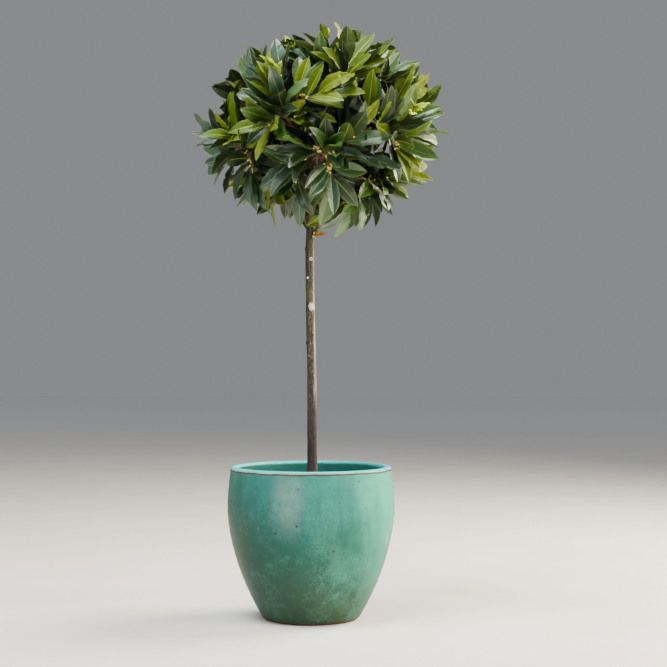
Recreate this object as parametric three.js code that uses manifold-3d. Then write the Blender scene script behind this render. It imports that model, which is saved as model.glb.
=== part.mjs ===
// A standard bay tree: a round head of bay leaves on one clear stem, standing in a glazed pot.
// Millimetres, +Z up. The origin is the centre of the pot's flat underside, -Y is the front
// and +X is to the right of it.

import * as THREE from "three";
import { mergeVertices } from "three/addons/utils/BufferGeometryUtils.js";
import Module from "manifold-3d";

const wasm = await Module();
wasm.setup();

// Driving dimensions
const CLEARANCE = 0.35;
const GOLDEN_ANGLE = THREE.MathUtils.degToRad(137.508);

const pot = {
  height: 377,
  footRadius: 119,
  footChamfer: 5,
  bellyRadius: 208,
  bellyHeight: 278,
  rimRadius: 199.5,
  wall: 19,
  floor: 24,
  lipDepth: 12,
  facets: 32,
  drainHoles: 3,
  drainRadius: 9,
  drainCircle: 62,
};

const compost = { edgeHeight: 338, moundHeight: 345, moundRadius: 34 };

// The stem's centre line, from the compost to the tip inside the head.
const stem = {
  line: [
    [3, 0, compost.moundHeight + CLEARANCE],
    [2.5, 0, 450],
    [1.8, 1, 600],
    [-2.3, 2, 776],
    [-3, 1, 940],
    [2, 1, 1040],
    [12, 0, 1160],
    [20, 0, 1290],
  ],
  footRadius: 12.4,
  forkRadius: 10.4,
  forkHeight: 945,
  tipRadius: 3.6,
  flare: 5.6,
  flareHeight: 15,
  facets: 12,
};

// The head, out to the leaf tips. Each mass of leaves has one bough, and the last has the stem's tip.
const head = {
  centre: new THREE.Vector3(33, 0, 1206),
  radii: new THREE.Vector3(362, 322, 290),
  masses: 12,
  taper: 0.4,
  lowestMass: -0.72,
  lobes: 0.06,
  seed: 2041,
};

const bough = {
  centre: new THREE.Vector3(14, 0, 1170),
  lowestFork: 936,
  highestFork: 1212,
  reach: 0.38,
  lowRadius: 6.2,
  highRadius: 4.6,
  tipRadius: 3.2,
  facets: 6,
};

const shoot = {
  reach: 0.66,
  sideShoots: 4,
  widestTurn: 34,
  baseRadius: 2.7,
  tipRadius: 2.1,
  edgeDistance: 32,
  limbDistance: 2,
};

const leaf = {
  length: 120,
  lengthSpread: 0.28,
  widthShare: 0.36,
  thickness: 1.9,
  stalkRadius: 1,
  stalkLength: 10,
  foldShare: 0.07,
  perShoot: 15,
  perMainShoot: 15,
  openBase: 78,
  openTip: 26,
  openSpread: 9,
  underClosing: 0.45,
  lift: 0.16,
  facesAlong: 0.5,
  facesOut: 0.9,
  facesUp: 0.35,
  leafDistance: 3.5,
  limbDistance: 3,
};

const colours = {
  glaze: 0x4f9482,
  compost: 0x3a2c22,
  bark: 0x7d6a58,
  leaves: [0x2f5130, 0x3b5f33, 0x4a6a2c, 0x34573f],
};

// Random numbers between 0 and 1 from a seed, the same on every run.
function seededRandom(seed) {
  let state = seed >>> 0;
  return () => {
    state = (state + 0x6d2b79f5) >>> 0;
    let mixed = state;
    mixed = Math.imul(mixed ^ (mixed >>> 15), mixed | 1);
    mixed ^= mixed + Math.imul(mixed ^ (mixed >>> 7), mixed | 61);
    return ((mixed ^ (mixed >>> 14)) >>> 0) / 4294967296;
  };
}

const between = (low, high, share) => low + (high - low) * share;

// Geometry and solids

function meshGeometry(positions, faces) {
  const geometry = new THREE.BufferGeometry();
  geometry.setAttribute("position", new THREE.Float32BufferAttribute(positions, 3));
  geometry.setIndex(faces);
  geometry.computeVertexNormals();
  return geometry;
}

function solidOf(geometry) {
  const bare = geometry.clone();
  bare.deleteAttribute("normal");
  bare.deleteAttribute("uv");
  const merged = mergeVertices(bare, 1e-3);
  return new wasm.Manifold(
    new wasm.Mesh({
      numProp: 3,
      vertProperties: merged.getAttribute("position").array,
      triVerts: new Uint32Array(merged.index.array),
    }),
  );
}

function geometryOf(solid) {
  const mesh = solid.getMesh();
  return meshGeometry(Array.from(mesh.vertProperties), Array.from(mesh.triVerts));
}

// A profile of [radius, height] pairs from axis to axis, turned about the Z axis.
function turned(profile) {
  const points = profile.map(([radius, height]) => new THREE.Vector2(radius, height));
  return new THREE.LatheGeometry(points, pot.facets).rotateX(Math.PI / 2);
}

// A closed limb: rings of corners square to the path, with flat ends.
// The first ring is square to a direction of its own where one is given.
function limbGeometry(path, radii, facets, footDirection = null) {
  const positions = [];
  const faces = [];
  const last = path.length - 1;
  let side = null;
  path.forEach((centre, i) => {
    const along = path[Math.min(i + 1, last)].clone().sub(path[Math.max(i - 1, 0)]).normalize();
    if (i === 0 && footDirection) along.copy(footDirection);
    side ??= Math.abs(along.x) < 0.8 ? new THREE.Vector3(1, 0, 0) : new THREE.Vector3(0, 1, 0);
    side = side.clone().addScaledVector(along, -side.dot(along)).normalize();
    const across = along.clone().cross(side);
    for (let k = 0; k < facets; k++) {
      const turn = (2 * Math.PI * k) / facets;
      const corner = centre
        .clone()
        .addScaledVector(side, radii[i] * Math.cos(turn))
        .addScaledVector(across, radii[i] * Math.sin(turn));
      positions.push(...corner.toArray());
    }
  });
  for (let i = 0; i < last; i++) {
    for (let k = 0; k < facets; k++) {
      const next = (k + 1) % facets;
      const [a, b] = [i * facets + k, i * facets + next];
      faces.push(a, b, a + facets, b, b + facets, a + facets);
    }
  }
  const top = last * facets;
  for (let k = 1; k < facets - 1; k++) {
    faces.push(0, k + 1, k, top, top + k, top + k + 1);
  }
  return meshGeometry(positions, faces);
}

// The pot and the compost in it

function potRadius(height) {
  if (height < pot.bellyHeight) {
    const below = 1 - height / pot.bellyHeight;
    return pot.bellyRadius - (pot.bellyRadius - pot.footRadius) * below ** 1.87;
  }
  const above = (height - pot.bellyHeight) / (pot.height - pot.bellyHeight);
  return pot.bellyRadius - (pot.bellyRadius - pot.rimRadius) * above ** 1.6;
}

function wallHeights(low, high, steps) {
  return Array.from({ length: steps + 1 }, (_, i) => between(low, high, i / steps));
}

// The inside of the pot's wall, from its floor to the top of the compost.
const innerWall = wallHeights(pot.floor, compost.edgeHeight, 4).map((z) => [potRadius(z) - pot.wall, z]);

function potGeometry() {
  const lipFoot = pot.height - pot.lipDepth;
  const outside = wallHeights(pot.footChamfer, lipFoot, 8).map((z) => [potRadius(z), z]);
  const edge = potRadius(lipFoot);
  const profile = [
    [0, 0],
    [pot.footRadius - pot.footChamfer, 0],
    ...outside,
    [edge - 0.5, pot.height - 6],
    [edge - 5, pot.height - 1],
    [edge - 12, pot.height],
    [edge - 19, pot.height - 4],
    [potRadius(lipFoot - 6) - pot.wall, lipFoot - 6],
    ...innerWall.toReversed(),
    [0, pot.floor],
  ];
  const walls = solidOf(turned(profile));
  const drains = Array.from({ length: pot.drainHoles }, (_, i) => {
    const turn = (2 * Math.PI * (i + 0.5)) / pot.drainHoles;
    const drill = new THREE.CylinderGeometry(pot.drainRadius, pot.drainRadius, 3 * pot.floor, 10);
    drill.rotateX(Math.PI / 2);
    drill.translate(pot.drainCircle * Math.cos(turn), pot.drainCircle * Math.sin(turn), 0);
    return solidOf(drill);
  });
  return geometryOf(drains.reduce((shell, drain) => shell.subtract(drain), walls));
}

function compostGeometry() {
  const sides = innerWall.map(([radius, z]) => [radius - CLEARANCE, z]);
  sides[0][1] += CLEARANCE;
  return turned([
    [0, sides[0][1]],
    ...sides,
    [3.2 * compost.moundRadius, between(compost.edgeHeight, compost.moundHeight, 0.35)],
    [compost.moundRadius, compost.moundHeight],
    [0, compost.moundHeight],
  ]);
}

// The stem and its boughs

const stemCurve = new THREE.CatmullRomCurve3(stem.line.map((p) => new THREE.Vector3(...p)));
const stemFoot = stem.line[0][2];
const stemTip = stem.line[stem.line.length - 1][2];

// The point of the stem's centre line at a height.
function stemAt(height) {
  let [low, high] = [0, 1];
  for (let i = 0; i < 30; i++) {
    const middle = (low + high) / 2;
    if (stemCurve.getPoint(middle).z < height) low = middle;
    else high = middle;
  }
  return stemCurve.getPoint(low);
}

function stemRadius(height) {
  const flare = stem.flare * Math.exp(-(height - stemFoot) / stem.flareHeight);
  if (height < stem.forkHeight) {
    const share = (height - stemFoot) / (stem.forkHeight - stemFoot);
    return between(stem.footRadius, stem.forkRadius, share) + flare;
  }
  return between(stem.forkRadius, stem.tipRadius, (height - stem.forkHeight) / (stemTip - stem.forkHeight));
}

const stemHeights = [
  ...[0, 6, 14, 28, 55].map((rise) => stemFoot + rise),
  ...wallHeights(stemFoot + 110, stemTip, 11),
];
const stemPath = stemHeights.map(stemAt);
const stemRadii = stemHeights.map(stemRadius);

function stemGeometry(extra = 0) {
  const radii = stemRadii.map((radius) => radius + extra);
  return limbGeometry(stemPath, radii, stem.facets, new THREE.Vector3(0, 0, 1));
}

// The middle direction of each mass, spread evenly by the golden angle from the lowest to the top.
const massDirections = Array.from({ length: head.masses }, (_, k) => {
  const z = between(head.lowestMass, 1, k / (head.masses - 1));
  const level = Math.sqrt(1 - z * z);
  return new THREE.Vector3(level * Math.cos(k * GOLDEN_ANGLE), level * Math.sin(k * GOLDEN_ANGLE), z);
});

// Planes through the head's centre that part each mass from the others.
const massPlanes = massDirections.map((mine) =>
  massDirections
    .filter((other) => other !== mine)
    .map((other) => mine.clone().sub(other).divide(head.radii).normalize()),
);

// How far a point lies inside the space of a mass.
function depthInSpace(k, point) {
  const offset = point.clone().sub(head.centre);
  return Math.min(...massPlanes[k].map((normal) => offset.dot(normal)));
}

// The head's width at a rise from its middle, as a share: it draws in below, towards the stem.
function narrowing(rise) {
  return 1 - head.taper * Math.max(0, -rise / head.radii.z) ** 1.5;
}

// A point in a direction from the head's centre, at a share of the way to its outline.
function outlinePoint(direction, share) {
  const offset = direction.clone().normalize().multiply(head.radii).multiplyScalar(share);
  const narrow = narrowing(offset.z);
  return offset.multiply(new THREE.Vector3(narrow, narrow, 1)).add(head.centre);
}

function shareOfOutline(point) {
  const offset = point.clone().sub(head.centre);
  const wide = 1 / narrowing(offset.z);
  return offset.multiply(new THREE.Vector3(wide, wide, 1)).divide(head.radii).length();
}

function bend(from, by, to, steps) {
  return new THREE.QuadraticBezierCurve3(from, by, to).getPoints(steps);
}

const boughs = massDirections.slice(0, -1).map((direction, k) => {
  const share = k / (head.masses - 2);
  const from = stemAt(between(bough.lowestFork, bough.highestFork, share));
  const to = direction.clone().multiply(head.radii).multiplyScalar(bough.reach).add(bough.centre);
  const by = new THREE.Vector3(
    between(from.x, to.x, 0.42),
    between(from.y, to.y, 0.42),
    between(from.z, to.z, 0.6),
  );
  const path = bend(from, by, to, 6);
  const base = between(bough.lowRadius, bough.highRadius, share);
  const radii = path.map((_, i) => between(base, bough.tipRadius, i / (path.length - 1)));
  return { path, radii };
});

const limbs = [{ path: stemPath, radii: stemRadii }, ...boughs];

// Points along a limb a few millimetres apart, each with the room that a leaf leaves round it.
function roomAlong({ path, radii }, distance) {
  return path.slice(1).flatMap((end, i) => {
    const steps = Math.ceil(end.distanceTo(path[i]) / 4);
    return Array.from({ length: steps + 1 }, (_, j) => ({
      point: path[i].clone().lerp(end, j / steps),
      room: Math.max(radii[i], radii[i + 1]) + distance,
    }));
  });
}

const limbRoom = limbs.flatMap((limb) => roomAlong(limb, leaf.limbDistance));

// Leaves

// A bay leaf: a narrow oval with a pointed tip, folded a little along its midrib and arched.
// x runs from stalk to tip and z is the upper side.
function leafCorners({ length, width, arch }) {
  const fold = leaf.foldShare * length;
  const rise = (share) => arch * length * 4 * share * (1 - share);
  return [
    [0, 0, leaf.stalkRadius],
    [0, 0, -leaf.stalkRadius],
    [0.32 * length, 0.45 * width, rise(0.32) + fold],
    [0.68 * length, 0.42 * width, rise(0.68) + fold],
    [length, 0, -0.6 * arch * length],
    [0.68 * length, -0.42 * width, rise(0.68) + fold],
    [0.32 * length, -0.45 * width, rise(0.32) + fold],
    [0.5 * length, 0, rise(0.5)],
    [0.5 * length, 0, rise(0.5) - leaf.thickness],
  ].map((corner) => new THREE.Vector3(...corner));
}

const LEAF_FACES = [
  [7, 0, 6], [7, 6, 5], [7, 5, 4], [7, 4, 3], [7, 3, 2], [7, 2, 0],
  [8, 6, 1], [8, 5, 6], [8, 4, 5], [8, 3, 4], [8, 2, 3], [8, 1, 2],
  [6, 0, 1], [0, 2, 1],
].flat();

// A leaf's frame in the head, from its root, its direction and the way its upper side faces.
function leafFrame(root, along, facing) {
  const up = facing.clone().addScaledVector(along, -facing.dot(along)).normalize();
  const across = up.clone().cross(along);
  return new THREE.Matrix4().makeBasis(along, across, up).setPosition(root);
}

// Whether a blade comes near what is there already, found in the leaf's own frame.
function meets(frame, { length, width, arch }, taken) {
  const inverse = frame.clone().invert();
  const local = new THREE.Vector3();
  return taken.some(({ point, room }) => {
    local.copy(point).applyMatrix4(inverse);
    if (local.x < leaf.stalkLength || local.x > length + room) return false;
    const share = Math.min(1, local.x / length);
    const halfWidth = 0.5 * width * Math.min(1, 3.2 * share, 3.2 * (1 - share));
    if (Math.abs(local.y) > halfWidth + room) return false;
    const rise = arch * length * 4 * share * (1 - share);
    const fold = leaf.foldShare * length * Math.min(1, (2 * Math.abs(local.y)) / width);
    return Math.abs(local.z - rise - fold) < room + leaf.thickness;
  });
}

const leafSolid = (corners) => solidOf(meshGeometry(corners.flatMap((c) => c.toArray()), LEAF_FACES));

// Points along a blade's midrib and edges, with the room that other leaves leave round them.
function roomOfBlade(frame, { length, width, arch }) {
  const points = [];
  for (let i = 1; i <= 8; i++) {
    const share = 0.12 + 0.11 * i;
    const halfWidth = 0.46 * width * Math.min(1, 3.2 * share, 3.2 * (1 - share));
    const rise = arch * length * 4 * share * (1 - share);
    const fold = leaf.foldShare * length;
    points.push([share * length, 0, rise]);
    points.push([share * length, halfWidth, rise + fold], [share * length, -halfWidth, rise + fold]);
  }
  return points.map((point) => ({
    point: new THREE.Vector3(...point).applyMatrix4(frame),
    room: leaf.leafDistance,
  }));
}

// A blade keeps to its mass's space and to the head's outline.
function staysIn(k, corners) {
  return shareOfOutline(corners[4]) <= 1 && corners.every((corner) => depthInSpace(k, corner) > CLEARANCE);
}

// The way a leaf's upper side turns: on along its shoot, out of the head and up to the light.
function facingOf(root, tangent) {
  const outward = root.clone().sub(head.centre).divide(head.radii);
  outward.z = Math.max(0, outward.z);
  return tangent
    .clone()
    .multiplyScalar(leaf.facesAlong)
    .addScaledVector(outward.normalize(), leaf.facesOut)
    .add(new THREE.Vector3(0, 0, leaf.facesUp));
}

// Leaves turn round a shoot by the golden angle, wide open low down and close together at its tip.
// Those below it lie closer to it, and all lift a little.
// A leaf that doesn't fit is turned on a little, and skipped if it never fits.
function growLeaves(k, path, count, random, taken) {
  const curve = new THREE.CatmullRomCurve3(path);
  const start = random() * 2 * Math.PI;
  const leaves = [];
  for (let i = 0; i < count; i++) {
    const share = i / (count - 1);
    const at = between(0.34, 0.985, share);
    const root = curve.getPoint(at);
    const tangent = curve.getTangent(at);
    const side = new THREE.Vector3(0, 0, 1).cross(tangent).normalize();
    const length = leaf.length * (1 + leaf.lengthSpread * (random() - 0.5)) * between(1, 0.88, share);
    const size = { length, width: leaf.widthShare * length, arch: between(-0.02, 0.09, random()) };
    const open = between(leaf.openBase, leaf.openTip, share) + leaf.openSpread * (2 * random() - 1);
    for (let attempt = 0; attempt < 11; attempt++) {
      const turn = start + i * GOLDEN_ANGLE + (attempt % 2 ? 1 : -1) * Math.ceil(attempt / 2) * 0.5;
      const away = side.clone().applyAxisAngle(tangent, turn);
      const closing = 1 - leaf.underClosing * Math.max(0, -away.z);
      const tilt = THREE.MathUtils.degToRad((open - 2 * attempt) * closing);
      const along = tangent.clone().multiplyScalar(Math.cos(tilt)).addScaledVector(away, Math.sin(tilt));
      along.z += leaf.lift;
      along.normalize();
      const frame = leafFrame(root, along, facingOf(root, tangent));
      const corners = leafCorners(size).map((corner) => corner.applyMatrix4(frame));
      if (!staysIn(k, corners) || meets(frame, size, [...limbRoom, ...taken])) continue;
      taken.push(...roomOfBlade(frame, size));
      leaves.push(leafSolid(corners));
      break;
    }
  }
  return leaves;
}

// The directions of a mass's shoot tips: its middle, then the candidate furthest from those taken.
function tipDirections(k, random) {
  const middle = massDirections[k];
  const taken = [middle];
  const widest = THREE.MathUtils.degToRad(shoot.widestTurn);
  for (let i = 0; i < shoot.sideShoots; i++) {
    let best = null;
    let bestTurn = 0;
    for (let candidate = 0; candidate < 40; candidate++) {
      const axis = new THREE.Vector3(random() - 0.5, random() - 0.5, random() - 0.5).cross(middle).normalize();
      const direction = middle.clone().applyAxisAngle(axis, widest * Math.sqrt(random()));
      const turn = Math.min(...taken.map((other) => other.angleTo(direction)));
      const tip = outlinePoint(direction, shoot.reach);
      if (turn < bestTurn || depthInSpace(k, tip) < shoot.edgeDistance) continue;
      [best, bestTurn] = [direction, turn];
    }
    if (best) taken.push(best);
  }
  return taken;
}

function shootLimb(path, baseRadius) {
  const radii = path.map((_, i) => between(baseRadius, shoot.tipRadius, i / (path.length - 1)));
  return { path, radii };
}

// A side shoot leaves the main one between its direction and that of its own tip.
function sideShoot(mainCurve, start, tip) {
  const root = mainCurve.getPoint(start);
  const toTip = tip.clone().sub(root);
  const leaving = toTip.clone().normalize().add(mainCurve.getTangent(start)).normalize();
  return bend(root, root.clone().addScaledVector(leaving, 0.45 * toTip.length()), tip, 3);
}

function shootFits(k, { path, radii }) {
  return roomAlong({ path, radii }, shoot.limbDistance).every(
    ({ point, room }) =>
      depthInSpace(k, point) > room &&
      limbRoom.every((limb) => limb.point.distanceTo(point) > limb.room + room - leaf.limbDistance),
  );
}

// One mass: a main shoot on from its bough, side shoots from it, and the leaves on them all.
function massSolid(k) {
  const random = seededRandom(head.seed + 101 * k);
  const lobe = 1 + head.lobes * (random() - 0.8);
  const carrier = boughs[k] ?? limbs[0];
  const [before, carrierTip] = carrier.path.slice(-2);
  const onward = carrierTip.clone().sub(before).normalize();
  const from = carrierTip.clone().addScaledVector(onward, CLEARANCE);
  const [middle, ...sides] = tipDirections(k, random);
  const to = outlinePoint(middle, shoot.reach * lobe);
  const by = from.clone().addScaledVector(onward, 0.45 * from.distanceTo(to));
  const mainCurve = new THREE.QuadraticBezierCurve3(from, by, to);
  const main = shootLimb(mainCurve.getPoints(4), carrier.radii[carrier.radii.length - 1]);
  const shoots = sides
    .map((direction, i) => {
      const start = between(0.22, 0.66, i / Math.max(1, sides.length - 1));
      const tip = outlinePoint(direction, shoot.reach * lobe * between(0.92, 1.05, random()));
      return shootLimb(sideShoot(mainCurve, start, tip), shoot.baseRadius);
    })
    .filter((limb) => shootFits(k, limb));
  const solids = [
    solidOf(limbGeometry(main.path, main.radii, 5, onward)),
    ...shoots.map(({ path, radii }) => solidOf(limbGeometry(path, radii, 3))),
  ];
  const taken = [main, ...shoots].flatMap((limb) => roomAlong(limb, 0));
  solids.push(...growLeaves(k, main.path, leaf.perMainShoot, random, taken));
  shoots.forEach(({ path }) => solids.push(...growLeaves(k, path, leaf.perShoot, random, taken)));
  return largestBody(wasm.Manifold.union(solids));
}

// The largest body of a solid: fusing can leave a loose scrap or a sealed hollow, which are dropped.
function largestBody(solid) {
  const bodies = solid.simplify(0.05).decompose();
  return bodies.reduce((most, body) => (body.volume() > most.volume() ? body : most));
}

// Assembly

const group = new THREE.Group();

function addPiece(name, geometry, color, roughness) {
  const material = new THREE.MeshStandardMaterial({ color, roughness, metalness: 0 });
  const piece = new THREE.Mesh(geometry, material);
  piece.name = name;
  group.add(piece);
}

addPiece("pot", potGeometry(), colours.glaze, 0.3);
addPiece("compost", compostGeometry(), colours.compost, 0.95);
addPiece("trunk", stemGeometry(), colours.bark, 0.85);

const stemRoom = solidOf(stemGeometry(CLEARANCE));
boughs.forEach(({ path, radii }, k) => {
  const whole = solidOf(limbGeometry(path, radii, bough.facets));
  const name = `bough_${String(k + 1).padStart(2, "0")}`;
  addPiece(name, geometryOf(largestBody(whole.subtract(stemRoom))), colours.bark, 0.85);
});

massDirections.forEach((_, k) => {
  const name = `leaves_${String(k + 1).padStart(2, "0")}`;
  addPiece(name, geometryOf(massSolid(k)), colours.leaves[k % colours.leaves.length], 0.45);
});

export default group;
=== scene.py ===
# A standard bay tree in a glazed pot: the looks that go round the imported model.
# +Z is up and -Y is the front. Growth is worked out in millimetres, and every piece is made in metres.

import math

import bpy
import numpy as np
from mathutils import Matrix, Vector, noise


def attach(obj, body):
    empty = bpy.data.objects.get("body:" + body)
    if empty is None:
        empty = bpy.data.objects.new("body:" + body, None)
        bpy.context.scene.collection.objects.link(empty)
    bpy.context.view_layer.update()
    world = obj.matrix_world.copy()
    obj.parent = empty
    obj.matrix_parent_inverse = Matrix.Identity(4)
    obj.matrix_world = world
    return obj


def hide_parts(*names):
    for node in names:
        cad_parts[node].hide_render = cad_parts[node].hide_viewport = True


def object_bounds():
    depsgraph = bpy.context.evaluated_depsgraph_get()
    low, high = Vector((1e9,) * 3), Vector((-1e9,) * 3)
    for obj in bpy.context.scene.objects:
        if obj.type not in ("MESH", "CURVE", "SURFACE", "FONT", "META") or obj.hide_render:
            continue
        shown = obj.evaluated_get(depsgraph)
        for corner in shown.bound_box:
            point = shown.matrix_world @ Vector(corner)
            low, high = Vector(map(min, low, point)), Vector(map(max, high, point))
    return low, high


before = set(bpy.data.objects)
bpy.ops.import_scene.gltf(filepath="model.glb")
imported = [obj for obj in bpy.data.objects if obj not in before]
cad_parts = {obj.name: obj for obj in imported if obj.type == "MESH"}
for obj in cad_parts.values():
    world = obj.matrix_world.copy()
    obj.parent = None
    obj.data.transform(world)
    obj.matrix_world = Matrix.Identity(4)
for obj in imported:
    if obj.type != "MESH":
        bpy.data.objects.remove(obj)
cad_low, cad_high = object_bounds()

MM = 0.001
GOLDEN_ANGLE = math.radians(137.508)
UP = np.array([0.0, 0.0, 1.0])

# Driving dimensions in millimetres, with openings in degrees and shares of a whole

POT_HEIGHT = 377
FOOT_RADIUS = 119
FOOT_CHAMFER = 5
BELLY_RADIUS = 208
BELLY_HEIGHT = 278
RIM_RADIUS = 199.5
POT_WALL = 19
POT_FLOOR = 24
LIP_DEPTH = 12
DRAIN_RADIUS = 9
DRAIN_CIRCLE = 62
COMPOST_EDGE = 338
COMPOST_MOUND = 345
MOUND_RADIUS = 34
CLEARANCE = 0.35

STEM_LINE = [
    (3, 0, COMPOST_MOUND + CLEARANCE),
    (2.5, 0, 450),
    (1.8, 1, 600),
    (-2.3, 2, 776),
    (-3, 1, 940),
    (2, 1, 1040),
    (12, 0, 1160),
    (20, 0, 1290),
]
STEM_FOOT_RADIUS = 12.4
STEM_FORK_RADIUS = 10.4
STEM_FORK_HEIGHT = 945
STEM_TIP_RADIUS = 3.6
STEM_FLARE = 5.6
STEM_FLARE_HEIGHT = 15
FOOT_RISES = (0, 6, 14, 28, 55)
FIRST_STATION = 110
STEM_STATIONS = 12

HEAD_CENTRE = np.array([33.0, 0.0, 1206.0])
HEAD_RADII = np.array([362.0, 322.0, 290.0])
MASSES = 12
LOWEST_MASS = -0.72
HEAD_TAPER = 0.4
LOBES = 0.06
HEAD_SEED = 2041

BOUGH_CENTRE = np.array([14.0, 0.0, 1170.0])
LOWEST_FORK = 936
HIGHEST_FORK = 1212
BOUGH_REACH = 0.38
BOUGH_BOW = (0.42, 0.42, 0.6)
BOUGH_RADII = (6.2, 4.6)
BOUGH_TIP_RADIUS = 3.2

SHOOT_REACH = 0.66
SHOOT_BOW = 0.45
SIDE_SHOOTS = 4
SIDE_STARTS = (0.22, 0.66)
SIDE_REACHES = (0.92, 1.05)
WIDEST_TURN = math.radians(34)
DIRECTION_TRIES = 40
SHOOT_RADIUS = 2.7
SHOOT_TIP_RADIUS = 2.1
SHOOT_EDGE_DISTANCE = 32
SHOOT_LIMB_DISTANCE = 2

LEAF_LENGTH = 120
LEAF_SPREAD = 0.28
LEAF_WIDTH_SHARE = 0.36
TIP_LEAF_SIZE = 0.88
LEAF_ARCHES = (-0.02, 0.09)
LEAF_FOLD = 0.05
LEAVES_PER_SHOOT = 15
FIRST_LEAF = 0.34
LAST_LEAF = 0.985
LEAF_TRIES = 11
STEP_ASIDE = 0.5
CLOSING_STEP = 2
OPEN_BASE = 78
OPEN_TIP = 26
OPEN_SPREAD = 9
UNDER_CLOSING = 0.45
LEAF_LIFT = 0.16
FACES_ALONG = 0.5
FACES_OUT = 0.9
FACES_UP = 0.35
LEAF_DISTANCE = 1.6
LEAF_LIMB_DISTANCE = 2
BLADE_ROOM = 1.4
BLADE_TAPER = 3.2
BLADE_REACH = 0.62
SHOULDERS = (0.32, 0.68)
SHOULDER_HALF_WIDTHS = (0.45, 0.42)
SHOULDER_RISE = 0.87
TIP_DROP = 0.6
STALK_LENGTH = 10
SEAM_CROSSING = 30
BOX_DISTANCE = 2.5
ROOM_STEP = 4

TWIGS_PER_MASS = 8
TWIG_RADIUS = 2.0
TWIG_TIP_RADIUS = 1.5
TWIG_TURN = math.radians(44)
TWIG_REACHES = (0.46, 0.7)
TWIG_STARTS = (0.15, 0.3, 0.45, 0.6, 0.75)
TWIG_OUTWARD = 0.1
TWIG_SEAM_CROSSING = 8
TWIG_LEAF_SIZE = 0.84
LEAVES_PER_TWIG = 9
FIRST_TWIG_LEAF = 0.3

# What is added to the head's seed for each kind of draw
MASS_SEED_STEP = 101
TWIG_SEED = 7000
TONE_SEED = 9600
BLADE_SEED = 11000
BUD_SEED = 12000
GROWTH_SEED = 13000
YOUNG_SEED = 14000
PALE_SEED = 15000


def between(low, high, share):
    return low + (high - low) * share


def unit(vector):
    return vector / np.linalg.norm(vector)


class Draws:
    """Numbers between 0 and 1 from a seed, the same on every run."""

    def __init__(self, seed):
        self.state = seed & 0xFFFFFFFF

    def __call__(self):
        self.state = (self.state + 0x6D2B79F5) & 0xFFFFFFFF
        mixed = self.state
        mixed = ((mixed ^ (mixed >> 15)) * (mixed | 1)) & 0xFFFFFFFF
        product = ((mixed ^ (mixed >> 7)) * (mixed | 61)) & 0xFFFFFFFF
        mixed ^= (mixed + product) & 0xFFFFFFFF
        return (mixed ^ (mixed >> 14)) / 4294967296


def turned_about(vector, axis, angle):
    """A vector turned round an axis of length 1."""
    along = axis * np.dot(axis, vector) * (1 - math.cos(angle))
    return vector * math.cos(angle) + np.cross(axis, vector) * math.sin(angle) + along


# Lines that limbs follow


class Line:
    """A curve with a point and a direction at each share of its way."""

    def direction(self, share):
        before = self.at(max(0.0, share - 1e-4))
        return unit(self.at(min(1.0, share + 1e-4)) - before)

    def points(self, steps):
        return np.array([self.at(i / steps) for i in range(steps + 1)])


class Bend(Line):
    """A line from one point to another that leaves towards a third."""

    def __init__(self, start, by, end):
        self.start, self.by, self.end = start, by, end

    def at(self, share):
        rest = 1 - share
        return rest * rest * self.start + 2 * rest * share * self.by + share * share * self.end


class Through(Line):
    """A smooth line through a row of points."""

    def __init__(self, points):
        points = [np.array(point, float) for point in points]
        before = 2 * points[0] - points[1]
        after = 2 * points[-1] - points[-2]
        self.row = [before, *points, after]
        self.spans = len(points) - 1

    def at(self, share):
        place = share * self.spans
        span = min(int(place), self.spans - 1)
        p0, p1, p2, p3 = self.row[span : span + 4]
        gaps = [max(1e-4, np.linalg.norm(b - a) ** 0.5) for a, b in ((p0, p1), (p1, p2), (p2, p3))]
        d0, d1, d2 = gaps
        leave = ((p1 - p0) / d0 - (p2 - p0) / (d0 + d1) + (p2 - p1) / d1) * d1
        arrive = ((p2 - p1) / d1 - (p3 - p1) / (d1 + d2) + (p3 - p2) / d2) * d1
        t = place - span
        square = -3 * p1 + 3 * p2 - 2 * leave - arrive
        cube = 2 * p1 - 2 * p2 + leave + arrive
        return p1 + leave * t + square * t * t + cube * t**3


stem_line = Through(STEM_LINE)
stem_foot = STEM_LINE[0][2]
stem_top = STEM_LINE[-1][2]


def stem_at(height):
    """The middle of the stem at a height, found by halving."""
    low, high = 0.0, 1.0
    for _ in range(30):
        middle = (low + high) / 2
        if stem_line.at(middle)[2] < height:
            low = middle
        else:
            high = middle
    return stem_line.at(low)


def stem_radius(height):
    flare = STEM_FLARE * math.exp(-(height - stem_foot) / STEM_FLARE_HEIGHT)
    if height < STEM_FORK_HEIGHT:
        share = (height - stem_foot) / (STEM_FORK_HEIGHT - stem_foot)
        return between(STEM_FOOT_RADIUS, STEM_FORK_RADIUS, share) + flare
    share = (height - STEM_FORK_HEIGHT) / (stem_top - STEM_FORK_HEIGHT)
    return between(STEM_FORK_RADIUS, STEM_TIP_RADIUS, share)


# The head's masses, and the space of each


def mass_direction(k):
    z = between(LOWEST_MASS, 1, k / (MASSES - 1))
    level = math.sqrt(1 - z * z)
    return np.array([level * math.cos(k * GOLDEN_ANGLE), level * math.sin(k * GOLDEN_ANGLE), z])


mass_directions = [mass_direction(k) for k in range(MASSES)]
mass_planes = [
    np.array([unit((mine - other) / HEAD_RADII) for other in mass_directions if other is not mine])
    for mine in mass_directions
]


def depth_in_space(k, points):
    """How far points lie inside each side of a mass's space."""
    return (np.atleast_2d(points) - HEAD_CENTRE) @ mass_planes[k].T


def narrowing(rise):
    """The head's width at a rise from its middle: it draws in below, towards the stem."""
    return 1 - HEAD_TAPER * max(0.0, -rise / HEAD_RADII[2]) ** 1.5


def outline_point(direction, share):
    """The point at a share of the way from the head's middle to its outline."""
    offset = unit(direction) * HEAD_RADII * share
    narrow = narrowing(offset[2])
    return offset * (narrow, narrow, 1) + HEAD_CENTRE


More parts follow.
